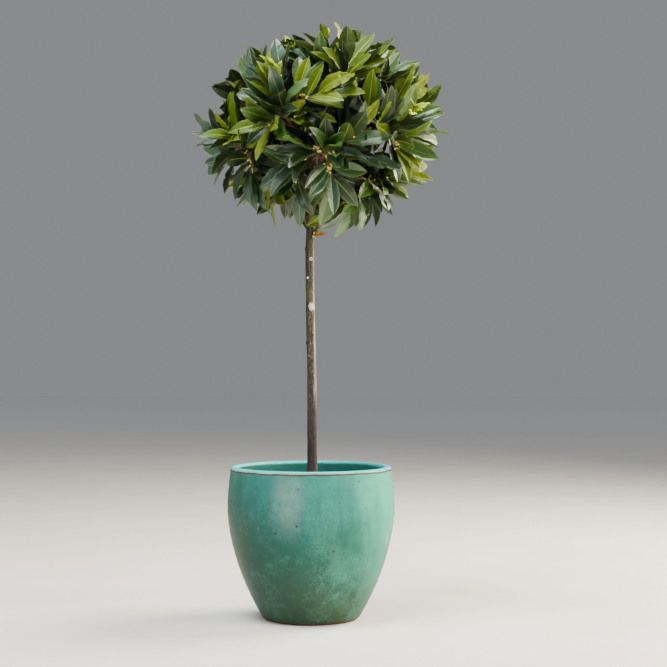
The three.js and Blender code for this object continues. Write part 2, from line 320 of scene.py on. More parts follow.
def share_of_outline(point):
    """How far out a point lies, as a share of the way to the outline."""
    offset = point - HEAD_CENTRE
    wide = 1 / narrowing(offset[2])
    return np.linalg.norm(offset * (wide, wide, 1) / HEAD_RADII)


class Limb:
    """A line of points with a radius at each."""

    def __init__(self, path, base_radius, tip_radius):
        self.path = np.array(path)
        self.radii = np.linspace(base_radius, tip_radius, len(self.path))

    def room(self, distance):
        """Points a few millimetres apart along the limb, with the room that each needs."""
        points, rooms = [], []
        for i in range(len(self.path) - 1):
            start, end = self.path[i], self.path[i + 1]
            steps = math.ceil(np.linalg.norm(end - start) / ROOM_STEP)
            widest = max(self.radii[i], self.radii[i + 1])
            for j in range(steps + 1):
                points.append(start + (end - start) * j / steps)
                rooms.append(widest + distance)
        return np.array(points), np.array(rooms)


def bough_line(k):
    share = k / (MASSES - 2)
    start = stem_at(between(LOWEST_FORK, HIGHEST_FORK, share))
    end = mass_directions[k] * HEAD_RADII * BOUGH_REACH + BOUGH_CENTRE
    by = np.array([between(a, b, part) for a, b, part in zip(start, end, BOUGH_BOW)])
    return Bend(start, by, end)


stem_heights = [stem_foot + rise for rise in FOOT_RISES]
stem_heights += list(np.linspace(stem_foot + FIRST_STATION, stem_top, STEM_STATIONS))
stem_limb = Limb([stem_at(height) for height in stem_heights], 1, 1)
stem_limb.radii = np.array([stem_radius(height) for height in stem_heights])
bough_lines = [bough_line(k) for k in range(MASSES - 1)]
bough_limbs = [
    Limb(line.points(6), between(*BOUGH_RADII, k / (MASSES - 2)), BOUGH_TIP_RADIUS)
    for k, line in enumerate(bough_lines)
]
limb_rooms = [limb.room(0) for limb in (stem_limb, *bough_limbs)]
limb_points = np.concatenate([points for points, _ in limb_rooms])
limb_radii = np.concatenate([rooms for _, rooms in limb_rooms])


class Taken:
    """What is there already, as points that each keep some room round them."""

    def __init__(self, points, rooms):
        self.points, self.rooms = points, rooms

    def add(self, points, rooms):
        self.points = np.concatenate([self.points, points])
        self.rooms = np.concatenate([self.rooms, rooms])

    def meets(self, leaf):
        """Whether the leaf's blade comes near any of them, found in the leaf's own frame."""
        middle = leaf.root + leaf.along * leaf.length / 2
        offsets = self.points - middle
        near = (offsets**2).sum(axis=1) < (BLADE_REACH * leaf.length) ** 2
        local = (self.points[near] - leaf.root) @ leaf.axes.T
        room = self.rooms[near]
        x, y, z = local.T
        share = np.clip(x / leaf.length, 0, 1)
        taper = np.minimum(BLADE_TAPER * share, BLADE_TAPER * (1 - share))
        half = 0.5 * leaf.width * np.minimum(1, taper)
        fold = leaf.fold * leaf.length * np.minimum(1, 2 * np.abs(y) / leaf.width)
        above = np.abs(z - leaf.rise(share) - fold)
        beside = (x > STALK_LENGTH) & (x < leaf.length + room) & (np.abs(y) < half + room)
        return bool(np.any(beside & (above < room + BLADE_ROOM)))


class Leaf:
    """One leaf: its root, the way it points and faces, and its own shape."""

    def __init__(self, root, along, facing, length, width, arch):
        self.root, self.along = root, along
        up = unit(facing - along * np.dot(facing, along))
        self.axes = np.array([along, np.cross(up, along), up])
        self.length, self.width, self.arch = length, width, arch
        self.fold = LEAF_FOLD
        self.tone = 0

    def place(self, local):
        return self.root + np.asarray(local) @ self.axes

    def rise(self, share):
        """How far the arch lifts the midrib at a share of the leaf's length."""
        return self.arch * self.length * 4 * share * (1 - share)

    def corners(self):
        """The root, the shoulders and the tip, which is the fourth."""
        low, high = (share * self.length for share in SHOULDERS)
        wide, narrow = (share * self.width for share in SHOULDER_HALF_WIDTHS)
        lift = self.arch * self.length * SHOULDER_RISE + self.fold * self.length
        tip = (self.length, 0, -TIP_DROP * self.arch * self.length)
        left = [(low, wide, lift), (high, narrow, lift)]
        right = [(high, -narrow, lift), (low, -wide, lift)]
        return self.place([(0, 0, 0), *left, tip, *right])

    def room(self):
        """Points along the midrib and the edges, with the room that other leaves keep."""
        points = []
        for i in range(1, 9):
            share = 0.12 + 0.11 * i
            half = 0.46 * self.width * min(1, BLADE_TAPER * share, BLADE_TAPER * (1 - share))
            rise = self.rise(share)
            edge = rise + self.fold * self.length
            x = share * self.length
            points += [(x, 0, rise), (x, half, edge), (x, -half, edge)]
        return self.place(points), np.full(len(points), LEAF_DISTANCE)


BOX_LOW = np.array(cad_low) / MM + BOX_DISTANCE
BOX_HIGH = np.array(cad_high) / MM - BOX_DISTANCE


def stays_in(k, leaf):
    """Whether a leaf keeps to the box, to the head's outline and to the space of its mass."""
    corners = leaf.corners()
    if np.any(corners <= BOX_LOW) or np.any(corners >= BOX_HIGH):
        return False
    return share_of_outline(corners[3]) <= 1 and depth_in_space(k, corners).min() > -SEAM_CROSSING


class Spray:
    """One shoot with its leaves, and the line of the young shoot at its tip if it has one."""

    def __init__(self, mass, limb):
        self.mass, self.limb = mass, limb
        self.line = Through(limb.path)
        self.tip = self.line.at(1.0)
        self.leaves = []
        self.young = []


def facing_of(root, tangent):
    """The way a leaf's upper side turns: on along its shoot, out of the head and up to the light."""
    outward = (root - HEAD_CENTRE) / HEAD_RADII
    outward[2] = max(0, outward[2])
    return FACES_ALONG * tangent + FACES_OUT * unit(outward) + FACES_UP * UP


def leaning(tangent, away, tilt):
    """The way a leaf points that tilts from its shoot's direction, a little lifted to the light."""
    return unit(tangent * math.cos(tilt) + away * math.sin(tilt) + LEAF_LIFT * UP)


def grow_leaves(spray, count, draws, taken, size=1.0, first=FIRST_LEAF):
    """Leaves turn round a shoot by the golden angle, wide open low down and close together at its tip.

    A leaf that meets something steps aside and closes a little at each further try, and is left out
    if none of them is free.
    """
    start = math.tau * draws()
    for i in range(count):
        share = i / (count - 1)
        at = between(first, LAST_LEAF, share)
        root = spray.line.at(at)
        tangent = spray.line.direction(at)
        side = unit(np.cross(UP, tangent))
        facing = facing_of(root, tangent)
        length = size * LEAF_LENGTH * (1 + LEAF_SPREAD * (draws() - 0.5))
        length *= between(1, TIP_LEAF_SIZE, share)
        arch = between(*LEAF_ARCHES, draws())
        opening = between(OPEN_BASE, OPEN_TIP, share) + OPEN_SPREAD * (2 * draws() - 1)
        for attempt in range(LEAF_TRIES):
            step = (1 if attempt % 2 else -1) * math.ceil(attempt / 2) * STEP_ASIDE
            away = turned_about(side, tangent, start + i * GOLDEN_ANGLE + step)
            closing = 1 - UNDER_CLOSING * max(0, -away[2])
            tilt = math.radians((opening - CLOSING_STEP * attempt) * closing)
            along = leaning(tangent, away, tilt)
            leaf = Leaf(root, along, facing, length, LEAF_WIDTH_SHARE * length, arch)
            if not stays_in(spray.mass, leaf) or taken.meets(leaf):
                continue
            leaf.share = share
            taken.add(*leaf.room())
            spray.leaves.append(leaf)
            break


def dealt_direction(middle, widest, draws):
    """A direction within a turn of the middle one."""
    axis = unit(np.cross([draws() - 0.5, draws() - 0.5, draws() - 0.5], middle))
    return turned_about(middle, axis, widest * math.sqrt(draws()))


def tip_directions(k, draws):
    """The directions of a mass's shoot tips: its middle, then each furthest from those taken."""
    middle = mass_directions[k]
    chosen = [middle]
    for _ in range(SIDE_SHOOTS):
        best, best_turn = None, 0
        for _ in range(DIRECTION_TRIES):
            direction = dealt_direction(middle, WIDEST_TURN, draws)
            turn = min(math.acos(min(1, np.dot(other, direction))) for other in chosen)
            tip = outline_point(direction, SHOOT_REACH)
            if turn < best_turn or depth_in_space(k, tip).min() < SHOOT_EDGE_DISTANCE:
                continue
            best, best_turn = direction, turn
        if best is not None:
            chosen.append(best)
    return chosen


def shoot_line(root, leaving, tip):
    return Bend(root, root + leaving * SHOOT_BOW * np.linalg.norm(tip - root), tip)


def side_line(carrier, start, tip):
    """A side shoot leaves its carrier between the carrier's direction and that of its own tip."""
    root = carrier.at(start)
    return shoot_line(root, unit(unit(tip - root) + carrier.direction(start)), tip)


def shoot_fits(k, limb):
    """Whether a side shoot keeps inside its mass's space and clear of the stem and the boughs."""
    points, rooms = limb.room(SHOOT_LIMB_DISTANCE)
    if np.any(depth_in_space(k, points).min(axis=1) <= rooms):
        return False
    gaps = np.linalg.norm(limb_points[None, :, :] - points[:, None, :], axis=2)
    return bool(np.all(gaps > limb_radii[None, :] + rooms[:, None]))


def grow_mass(k, taken):
    """The shoots of one mass and their leaves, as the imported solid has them."""
    draws = Draws(HEAD_SEED + MASS_SEED_STEP * k)
    lobe = 1 + LOBES * (draws() - 0.8)
    carrier = bough_limbs[k] if k < len(bough_limbs) else stem_limb
    before, carrier_tip = carrier.path[-2:]
    onward = unit(carrier_tip - before)
    root = carrier_tip + onward * CLEARANCE
    middle, *sides = tip_directions(k, draws)
    end = outline_point(middle, SHOOT_REACH * lobe)
    main_line = shoot_line(root, onward, end)
    sprays = [Spray(k, Limb(main_line.points(4), carrier.radii[-1], SHOOT_TIP_RADIUS))]
    for i, direction in enumerate(sides):
        start = between(*SIDE_STARTS, i / max(1, len(sides) - 1))
        tip = outline_point(direction, SHOOT_REACH * lobe * between(*SIDE_REACHES, draws()))
        limb = Limb(side_line(main_line, start, tip).points(3), SHOOT_RADIUS, SHOOT_TIP_RADIUS)
        if shoot_fits(k, limb):
            sprays.append(Spray(k, limb))
    for spray in sprays:
        taken.add(*spray.limb.room(0))
    for spray in sprays:
        grow_leaves(spray, LEAVES_PER_SHOOT, draws, taken)
    return sprays


def grow_twigs(k, sprays, tips, taken):
    """Finer twigs where a mass still has room between its shoot tips."""
    draws = Draws(HEAD_SEED + TWIG_SEED + k)
    anchors = [(spray, at, spray.line.at(at)) for spray in sprays for at in TWIG_STARTS]
    twigs = []
    for _ in range(TWIGS_PER_MASS):
        best, best_gap = None, 0
        for _ in range(DIRECTION_TRIES):
            direction = dealt_direction(mass_directions[k], TWIG_TURN, draws)
            tip = outline_point(direction, between(*TWIG_REACHES, draws()))
            gap = min(np.linalg.norm(tip - other) for other in tips)
            if gap > best_gap and depth_in_space(k, tip).min() > -TWIG_SEAM_CROSSING:
                best, best_gap = tip, gap
        if best is None:
            continue
        furthest = share_of_outline(best) - TWIG_OUTWARD
        inner = [anchor for anchor in anchors if share_of_outline(anchor[2]) < furthest]
        if not inner:
            continue
        spray, at, _ = min(inner, key=lambda anchor: np.linalg.norm(anchor[2] - best))
        twig = Spray(k, Limb(side_line(spray.line, at, best).points(4), TWIG_RADIUS, TWIG_TIP_RADIUS))
        taken.add(*twig.limb.room(0))
        grow_leaves(twig, LEAVES_PER_TWIG, draws, taken, TWIG_LEAF_SIZE, FIRST_TWIG_LEAF)
        tips.append(best)
        twigs.append(twig)
    return twigs


# Gathering points and faces for a piece


def add_object(name, data):
    thing = bpy.data.objects.new(name, data)
    bpy.context.scene.collection.objects.link(thing)
    return thing


class Shape:
    """Points and faces gathered for one piece, each face with the number of its finish."""

    def __init__(self, rings=None):
        self.points, self.faces, self.finishes = [], [], []
        self.count = 0
        if rings is not None:
            self.add_rings(rings)

    def add_rings(self, rings, finish=0, ends=True):
        """Skins a row of closed rings of points. finish is one number, or one for each strip."""
        rings = np.asarray(rings, float)
        rows, sides = rings.shape[:2]
        first = self.count
        self.points.append(rings.reshape(-1, 3))
        self.count += rows * sides
        strips = [finish] * sides if isinstance(finish, int) else list(finish)
        for i in range(rows - 1):
            low = first + i * sides
            for k in range(sides):
                after = (k + 1) % sides
                self.faces.append((low + k, low + after, low + after + sides, low + k + sides))
                self.finishes.append(strips[k])
        if ends:
            last = first + (rows - 1) * sides
            self.faces.append(tuple(first + k for k in reversed(range(sides))))
            self.faces.append(tuple(last + k for k in range(sides)))
            self.finishes += [strips[0], strips[0]]

    def piece(self, name, finishes, nodes, slot, crease=None):
        """Makes the piece in metres, sharp where it turns by more than crease degrees."""
        mesh = bpy.data.meshes.new(name)
        mesh.from_pydata(np.concatenate(self.points) * MM, [], self.faces)
        mesh.polygons.foreach_set("material_index", self.finishes)
        mesh.polygons.foreach_set("use_smooth", [True] * len(self.faces))
        for finish in finishes:
            mesh.materials.append(finish)
        mesh.update()
        if crease:
            mesh.set_sharp_from_angle(angle=math.radians(crease))
        piece = add_object(name, mesh)
        if nodes:
            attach(piece, "root")
            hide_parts(*nodes)
        return piece


def tube_rings(points, radii, sides, relief=None):
    """Rings of points round a line, square to it. relief(place, turn) is added to the radius."""
    points = np.asarray(points, float)
    rings = []
    side = None
    for i, centre in enumerate(points):
        along = unit(points[min(i + 1, len(points) - 1)] - points[max(i - 1, 0)])
        if side is None:
            side = np.array([1.0, 0, 0]) if abs(along[0]) < 0.8 else np.array([0, 1.0, 0])
        side = unit(side - along * np.dot(side, along))
        across = np.cross(along, side)
        ring = []
        for k in range(sides):
            turn = math.tau * k / sides
            outward = side * math.cos(turn) + across * math.sin(turn)
            radius = radii[i]
            if relief:
                radius += relief(centre + outward * radius, turn)
            ring.append(centre + outward * radius)
        rings.append(ring)
    return np.array(rings)


def turned_rings(profile, sides, change=None):
    """Rings round the middle, one for each pair of radius and height.

    change(row, turn, radius, height) gives the radius and the height that a point gets instead.
    """
    rings = []
    for row, (radius, height) in enumerate(profile):
        ring = []
        for k in range(sides):
            turn = math.tau * k / sides
            wide, high = change(row, turn, radius, height) if change else (radius, height)
            ring.append((wide * math.cos(turn), wide * math.sin(turn), high))
        rings.append(ring)
    return rings


def roughness_at(point, sizes, strength):
    """Noise in four layers at a point, with its cells' size along each axis in millimetres."""
    place = Vector([p / s for p, s in zip(point, sizes)])
    return strength * noise.fractal(place, 0.9, 2.1, 4)


# Finishes


def srgb(red, green, blue):
    """A colour as seen, in 0 to 255, as the linear colour that a shader takes."""
    parts = []
    for value in (red, green, blue):
        share = value / 255
        parts.append(share / 12.92 if share <= 0.04045 else ((share + 0.055) / 1.055) ** 2.4)
    return (*parts, 1.0)


def maths(operation, reflected=False):
    """An operator on a wire that adds a Math node. Reflected, the wire is the second value."""

    def operator(self, other):
        values = (other, self) if reflected else (self, other)
        return self.finish.node("ShaderNodeMath", {"operation": operation}, dict(enumerate(values)))

    return operator


class Wire:
    """An output of a node. Arithmetic on it adds Math nodes."""

    def __init__(self, finish, socket):
        self.finish, self.socket = finish, socket

    __add__ = maths("ADD")
    __radd__ = maths("ADD", reflected=True)
    __sub__ = maths("SUBTRACT")
    __rsub__ = maths("SUBTRACT", reflected=True)
    __mul__ = maths("MULTIPLY")
    __rmul__ = maths("MULTIPLY", reflected=True)
    __truediv__ = maths("DIVIDE")
    __pow__ = maths("POWER")


class Finish:
    """One material: a Principled surface, the colour so far and the nodes that feed them."""

    def __init__(self, name, **constants):
        self.material = bpy.data.materials.new(name)
        self.material.use_nodes = True
        self.tree = self.material.node_tree
        self.surface = self.tree.nodes["Principled BSDF"]
        self.colour = None
        for socket, value in constants.items():
            self.surface.inputs[socket.replace("_", " ")].default_value = value

    def node(self, kind, settings=None, inputs=None, output=0):
        node = self.tree.nodes.new(kind)
        for name, value in (settings or {}).items():
            if name == "stops":
                self.set_stops(node.color_ramp, value)
            else:
                setattr(node, name, value)
        for key, value in (inputs or {}).items():
            if isinstance(value, Wire):
                self.tree.links.new(value.socket, node.inputs[key])
            else:
                node.inputs[key].default_value = value
        return Wire(self, node.outputs[output])

    def set_stops(self, ramp, stops):
        while len(ramp.elements) < len(stops):
            ramp.elements.new(0.5)
        for element, (position, colour) in zip(ramp.elements, stops):
            element.position = position
            element.color = colour

    def feed(self, **wires):
        for socket, wire in wires.items():
            self.tree.links.new(wire.socket, self.surface.inputs[socket.replace("_", " ")])

    def place(self, stretch=(1, 1, 1)):
        """The point on the object in metres, stretched."""
        place = self.node("ShaderNodeTexCoord", output="Object")
        return self.node("ShaderNodeMapping", None, {"Vector": place, "Scale": stretch})

    def axes(self):
        place = self.node("ShaderNodeTexCoord", output="Object")
        return [self.node("ShaderNodeSeparateXYZ", None, {0: place}, axis) for axis in range(3)]

    def speckle(self, scale, detail, rough, stretch=(1, 1, 1)):
        """Noise from 0 to 1, with scale cells to the metre."""
        inputs = {"Vector": self.place(stretch), "Scale": scale, "Detail": detail, "Roughness": rough}
        return self.node("ShaderNodeTexNoise", None, inputs)

    def step(self, value, low, high):
        """0 below low, 1 above high, and smooth between."""
        inputs = {"Value": value, "From Min": low, "From Max": high}
        return self.node("ShaderNodeMapRange", {"interpolation_type": "SMOOTHSTEP"}, inputs)

    def band(self, value, low, full, leaving, high):
        """1 from full to leaving, and 0 below low and above high."""
        return self.step(value, low, full) * (1 - self.step(value, leaving, high))

    def distance(self, point, stretch=(1, 1, 1)):
        """The distance from a point on the object, in metres, with each axis stretched."""
        centre = tuple(p * s for p, s in zip(point, stretch))
        inputs = {0: self.place(stretch), 1: centre}
        return self.node("ShaderNodeVectorMath", {"operation": "DISTANCE"}, inputs, "Value")

    def spot(self, point, outer, inner, stretch=(1, 1, 1)):
        """1 within inner metres of a point on the object, and 0 beyond outer."""
        return self.step(self.distance(point, stretch), outer, inner)

    def ramp(self, value, stops):
        return self.node("ShaderNodeValToRGB", {"stops": stops}, {0: value})

    def tones(self, value, *stops):
        """Starts the colour from a value. Each stop is a position and a colour in 0 to 255."""
        self.colour = self.ramp(value, [(position, srgb(*tone)) for position, *tone in stops])

    def paint(self, share, *tone):
        """Lays a share of a colour, in 0 to 255, over the colour so far."""
        inputs = {0: share, 6: self.colour, 7: srgb(*tone)}
        self.colour = self.node("ShaderNodeMix", {"data_type": "RGBA"}, inputs, 2)

    def finished(self, rough, relief, depth):
        """The material, with its roughness and a relief from 0 to 1 of a depth in metres."""
        bump = self.node("ShaderNodeBump", None, {"Height": relief, "Distance": depth})
        self.feed(Base_Color=self.colour, Roughness=rough, Normal=bump)
        return self.material


# Pits in the front of the glaze: how far each is to the right, its height and its size, in metres.
PITS = [
    (-0.0315, 0.249, 0.0036),
    (-0.081, 0.231, 0.0032),
    (0.056, 0.188, 0.0034),
    (0.027, 0.132, 0.003),
    (0.116, 0.352, 0.0026),
    (-0.028, 0.336, 0.0022),
]
GLAZE_TOP = 0.38


def glaze_finish():
    """Sea-green glaze, thin and olive low down, milky where it ran thick, with pits, a bare edge and
    painted light and shade.
    """
    glaze = Finish("sea_green_glaze", Specular_IOR_Level=0.1)
    x, y, z = glaze.axes()
    cloud = glaze.speckle(7.0, 6.0, 0.72)
    mottle = glaze.speckle(45.0, 6.0, 0.65)
    grain = glaze.speckle(420.0, 3.0, 0.6)
    run = glaze.speckle(16.0, 4.0, 0.6, (1, 1, 0.16))
    clouds, runs = cloud - 0.5, run - 0.5
    # Thin and olive low down, and darker there also as painted shade.
    glaze.tones(
        (z + clouds * 0.05 + runs * 0.07) / GLAZE_TOP,
        (0.0, 48, 67, 49),
        (0.22, 45, 74, 59),
        (0.5, 36, 86, 76),
        (0.78, 40, 105, 97),
        (1.0, 46, 114, 106),
    )
    # Painted shade: darker to the left and low down.
    painted_shade = glaze.step(x + (z - 0.2) * 0.3 + clouds * 0.14 + runs * 0.16, -0.02, -0.2)
    glaze.paint(painted_shade * 0.76, 41, 65, 54)
    # Milky where the glaze ran thick, and paler to the right and in front also as painted light.
    milk_and_painted_light = glaze.step(x * 1.3 + clouds * 0.3 + runs * 0.36 + z * 0.45, 0.11, 0.48)
    milk_and_painted_light = milk_and_painted_light * (0.25 + glaze.step(y + clouds * 0.08, 0.03, -0.12) * 0.75)
    glaze.paint(milk_and_painted_light * 0.62, 76, 188, 160)
    # A painted reflection: a soft pale patch high on the front.
    painted_reflection = glaze.distance((-0.048, -0.198, 0.316), (1.1, 1.0, 0.5)) + runs * 0.05
    painted_reflection = glaze.step(painted_reflection, 0.064, 0.006) * glaze.step(mottle, 0.1, 0.6)
    glaze.paint(painted_reflection * 0.5, 122, 148, 138)
    # Mottling, flecks and the fine threads of a glaze that ran.
    glaze.paint(glaze.step(mottle, 0.52, 0.75) * 0.2, 90, 156, 132)
    glaze.paint(glaze.step(mottle, 0.44, 0.25) * 0.2, 34, 76, 62)
    flecks = glaze.step(grain, 0.58, 0.68) * glaze.step(run, 0.44, 0.6)
    glaze.paint(flecks * 0.24, 134, 190, 168)
    threads = glaze.speckle(84.0, 6.0, 0.75, (1, 1, 0.7))
    threads = glaze.step(threads, 0.488, 0.5) * glaze.step(threads, 0.512, 0.5)
    glaze.paint(threads * glaze.step(cloud, 0.46, 0.6) * 0.28, 150, 200, 176)
    # Pinholes, the larger pits and a pale scar on the right.
    cells = glaze.node("ShaderNodeTexVoronoi", None, {"Vector": glaze.place(), "Scale": 95.0}, "Distance")
    pits = glaze.step(cells, 0.13, 0.08) * glaze.step(mottle, 0.5, 0.56)
    for across, up, size in PITS:
        outside = pot_radius(up / MM) * MM
        pit = glaze.distance((across, -math.sqrt(outside**2 - across**2), up)) + (grain - 0.5) * 0.002
        pits = pits + glaze.step(pit, size, 0.4 * size)
    glaze.paint(pits, 34, 48, 42)
    scar = glaze.distance((0.186, -0.07, 0.207), (1.6, 1.6, 0.36)) + (mottle - 0.5) * 0.012
    glaze.paint(glaze.step(scar, 0.009, 0.004) * 0.6, 190, 184, 158)
    # The lip, a painted highlight along its rounded top and the bare ring below it, by their heights from
    # the rim.
    wander = glaze.speckle(28.0, 4.0, 0.6) - 0.5
    edge = z + wander * 0.006 - POT_HEIGHT * MM
    outer = glaze.step((x * x + y * y) ** 0.5, 0.186, 0.192)
    glaze.paint(glaze.step(edge, -0.0065, -0.0045), 54, 184, 182)
    # A pale painted highlight along the top of the lip.
    painted_crest_highlight = glaze.band(edge, -0.0066, -0.0058, -0.0048, -0.0038) * glaze.step(run, 0.3, 0.45)
    glaze.paint(painted_crest_highlight * outer * 0.8, 150, 134, 122)
    bare = glaze.band(edge, -0.0106, -0.009, -0.007, -0.0058) * outer
    glaze.paint(bare * glaze.step(mottle, 0.25, 0.4), 70, 54, 46)
    foot = glaze.step(z + wander * 0.004, 0.0075, 0.0045)
    glaze.paint(foot, 92, 72, 58)
    rough = 0.46 + (mottle - 0.5) * 0.3 + foot * 0.35 + bare * 0.3 + painted_reflection * 0.12
    relief = run * 0.5 + mottle * 0.5 + grain * 0.06 - pits * 1.2 - foot * 0.25 - bare * 0.2
    return glaze.finished(rough, relief, 0.0012)


def compost_finish():
    """Moist dark compost with paler crumbs."""
    soil = Finish("moist_compost", Specular_IOR_Level=0.3)
    lumps = soil.speckle(120.0, 6.0, 0.7)
    crumbs = soil.speckle(480.0, 3.0, 0.6)
    soil.tones(lumps, (0.3, 26, 19, 14), (0.5, 44, 33, 25), (0.75, 72, 55, 41))
    soil.paint(soil.step(crumbs, 0.6, 0.7) * 0.5, 112, 92, 68)
    return soil.finished(0.95 - soil.step(lumps, 0.5, 0.2) * 0.2, lumps + crumbs * 0.4, 0.004)


def bark_chip_finish():
    """Bark chips on the compost."""
    chip = Finish("bark_chips", Specular_IOR_Level=0.3)
    grain = chip.speckle(160.0, 5.0, 0.65, (1, 0.3, 1))
    chip.tones(grain, (0.3, 42, 29, 21), (0.55, 72, 51, 36), (0.8, 112, 86, 62))
    return chip.finished(0.8 + grain * 0.15, grain, 0.0015)


# Dark knots on the stem, in metres: the strength, place, outer and inner reach and stretch of each.
DARK_KNOTS = [
    (1, (0.0055, -0.0105, 0.704), 0.0042, 0.0022, (1, 1, 1)),
    (1, (-0.0085, -0.007, 0.685), 0.005, 0.003, (1, 1, 1)),
    (0.8, (0.004, -0.0115, 0.64), 0.0055, 0.003, (0.7, 1, 1.3)),
    (1, (0.0045, -0.01, 0.918), 0.005, 0.002, (1, 1, 0.6)),
]


def bark_finish():
    """Grey-brown bay bark, streaked along the stem, with algae, a pale callus and old leaf scars."""
    bark = Finish("bay_bark", Specular_IOR_Level=0.35)
    x, y, z = bark.axes()
    streaks = bark.speckle(260.0, 5.0, 0.65, (1, 1, 0.09))
    patches = bark.speckle(38.0, 4.0, 0.6, (1, 1, 0.4))
    flecks = bark.speckle(330.0, 3.0, 0.6, (1, 1, 0.5))
    blotch, fleck = patches - 0.5, flecks - 0.5
    browns = [(0.28, 27, 21, 18), (0.44, 50, 41, 35), (0.6, 75, 64, 56), (0.78, 132, 119, 104)]
    bark.tones(streaks, *browns)
    bark.paint(bark.step(patches, 0.5, 0.7) * 0.5, 110, 103, 97)
    bark.paint(bark.step(patches, 0.46, 0.3) * 0.5, 44, 35, 28)
    bark.paint(bark.step(flecks, 0.58, 0.66) * 0.6, 176, 160, 136)
    # Darker low down, and paler on the right and in front, partly bleached bark and partly painted
    # sunlight.
    low = bark.step(z + blotch * 0.1, 0.72, 0.5)
    bark.paint(low * 0.72, 38, 30, 30)
    bleach_and_painted_sunlight = bark.step(x + fleck * 0.005, 0.0045, 0.0085) * bark.step(z + blotch * 0.5, 0.45, 0.95)
    bleach_and_painted_sunlight = bleach_and_painted_sunlight * bark.step(y + fleck * 0.005, 0.003, -0.003)
    bark.paint(bleach_and_painted_sunlight * bark.step(streaks, 0.26, 0.55) * 0.7, 200, 182, 156)
    # Painted shade on the left of the stem.
    painted_left_shade = bark.step(x + fleck * 0.004, -0.003, -0.01)
    bark.paint(painted_left_shade * 0.75, 34, 25, 18)
    algae = bark.spot((-0.006, -0.01, 0.81), 0.024, 0.006, (1.6, 1.0, 0.5))
    algae = algae + bark.spot((0.004, -0.006, 0.93), 0.02, 0.004, (1.0, 1.0, 0.35)) * 0.5
    bark.paint(algae * bark.step(flecks, 0.36, 0.6) * 0.75, 70, 80, 45)
    # The callus of a cut, the ring of an old scar, a pale nick and the knots.
    callus = bark.distance((0.001, -0.009, 0.775), (1.4, 0.5, 0.95))
    callus = bark.step(callus + (fleck * 0.011 + blotch * 0.008) * 1.5, 0.0112, 0.0084)
    bark.paint(callus * (0.35 + flecks), 214, 204, 186)
    ring = bark.distance((0.0, -0.0095, 0.894), (1, 0.7, 1))
    bark.paint(bark.band(ring, 0.0016, 0.0026, 0.0036, 0.0048), 190, 178, 160)
    bark.paint(bark.spot((-0.0085, -0.0075, 0.847), 0.0036, 0.0024), 232, 226, 212)
    bark.paint(sum(strength * bark.spot(*knot) for strength, *knot in DARK_KNOTS), 44, 34, 28)
    relief = streaks * 0.7 + flecks * 0.35 + patches * 0.3
    return bark.finished(0.72 + streaks * 0.2, relief, 0.0016)


def bough_finish():
    """Olive-brown bark of the boughs, smoother and greener than the stem's."""
    bark = Finish("bough_bark", Specular_IOR_Level=0.35)
    streaks = bark.speckle(240.0, 4.0, 0.6, (1, 1, 0.3))
    patches = bark.speckle(30.0, 3.0, 0.6)
    bark.tones(streaks, (0.3, 62, 50, 38), (0.5, 92, 80, 56), (0.75, 126, 112, 80))
    bark.paint(bark.step(patches, 0.45, 0.65) * 0.5, 92, 100, 56)
    return bark.finished(0.6 + streaks * 0.25, streaks, 0.001)


def twig_finish(name, dark, light):
    twig = Finish(name, Specular_IOR_Level=0.4)
    streaks = twig.speckle(420.0, 3.0, 0.6)
    twig.tones(streaks, (0.3, *dark), (0.7, *light))
    return twig.finished(0.42 + streaks * 0.2, streaks, 0.0005)


GLOSSY_TINT = (0.95, 1.0, 0.95, 1.0)
SOFT_TINT = (0.84, 1.0, 0.78, 1.0)


def leaf_finish(name, tone, rough, spread, gloss):
    """Leathery leaf skin of one colour, with a fine mottling and a gloss."""
    skin = Finish(
        name,
        Specular_IOR_Level=gloss,
        Specular_Tint=GLOSSY_TINT if gloss > 0.4 else SOFT_TINT,
        Subsurface_Weight=0.06,
        Subsurface_Scale=0.002,
        Subsurface_Radius=(0.6, 1.0, 0.2),
    )
    mottle = skin.speckle(110.0, 4.0, 0.6)
    stops = []
    for position, share in ((0.3, 1 - spread), (0.7, 1 + spread)):
        stops.append((position, (*(min(1, part * share) for part in srgb(*tone)[:3]), 1.0)))
    skin.colour = skin.ramp(mottle, stops)
    return skin.finished(rough + (mottle - 0.5) * 0.25, mottle, 0.0009)


# Leaves in full, as thin closed blades

# The greens of the leaves: the name and colour of each, and its underside from dark to bright.
LEAF_GREENS = [
    ("blue_green", (32, 62, 39), 0),
    ("deep_green", (24, 45, 12), 0),
    ("mid_green", (46, 79, 16), 1),
    ("olive_green", (72, 90, 4), 1),
    ("yellow_green", (94, 109, 5), 2),
    ("lime", (160, 178, 12), 2),
    ("grey_green", (59, 92, 41), 1),
    ("old_gold", (214, 140, 22), 2),
    # The last green is painted shade, for leaves deep inside the head.
    ("painted_shade_green", (11, 20, 8), 0),
]
BLUE, DEEP, MID, OLIVE, YELLOW, LIME, GREY, GOLD, PAINTED_SHADE = range(len(LEAF_GREENS))
WARM = (OLIVE, YELLOW, LIME, GOLD)
# The roughness, the spread of the mottling and the gloss of a leaf's upper side.
GLOSSY_SKIN = (0.35, 0.16, 0.7)
SOFT_SKIN = (0.48, 0.16, 0.22)
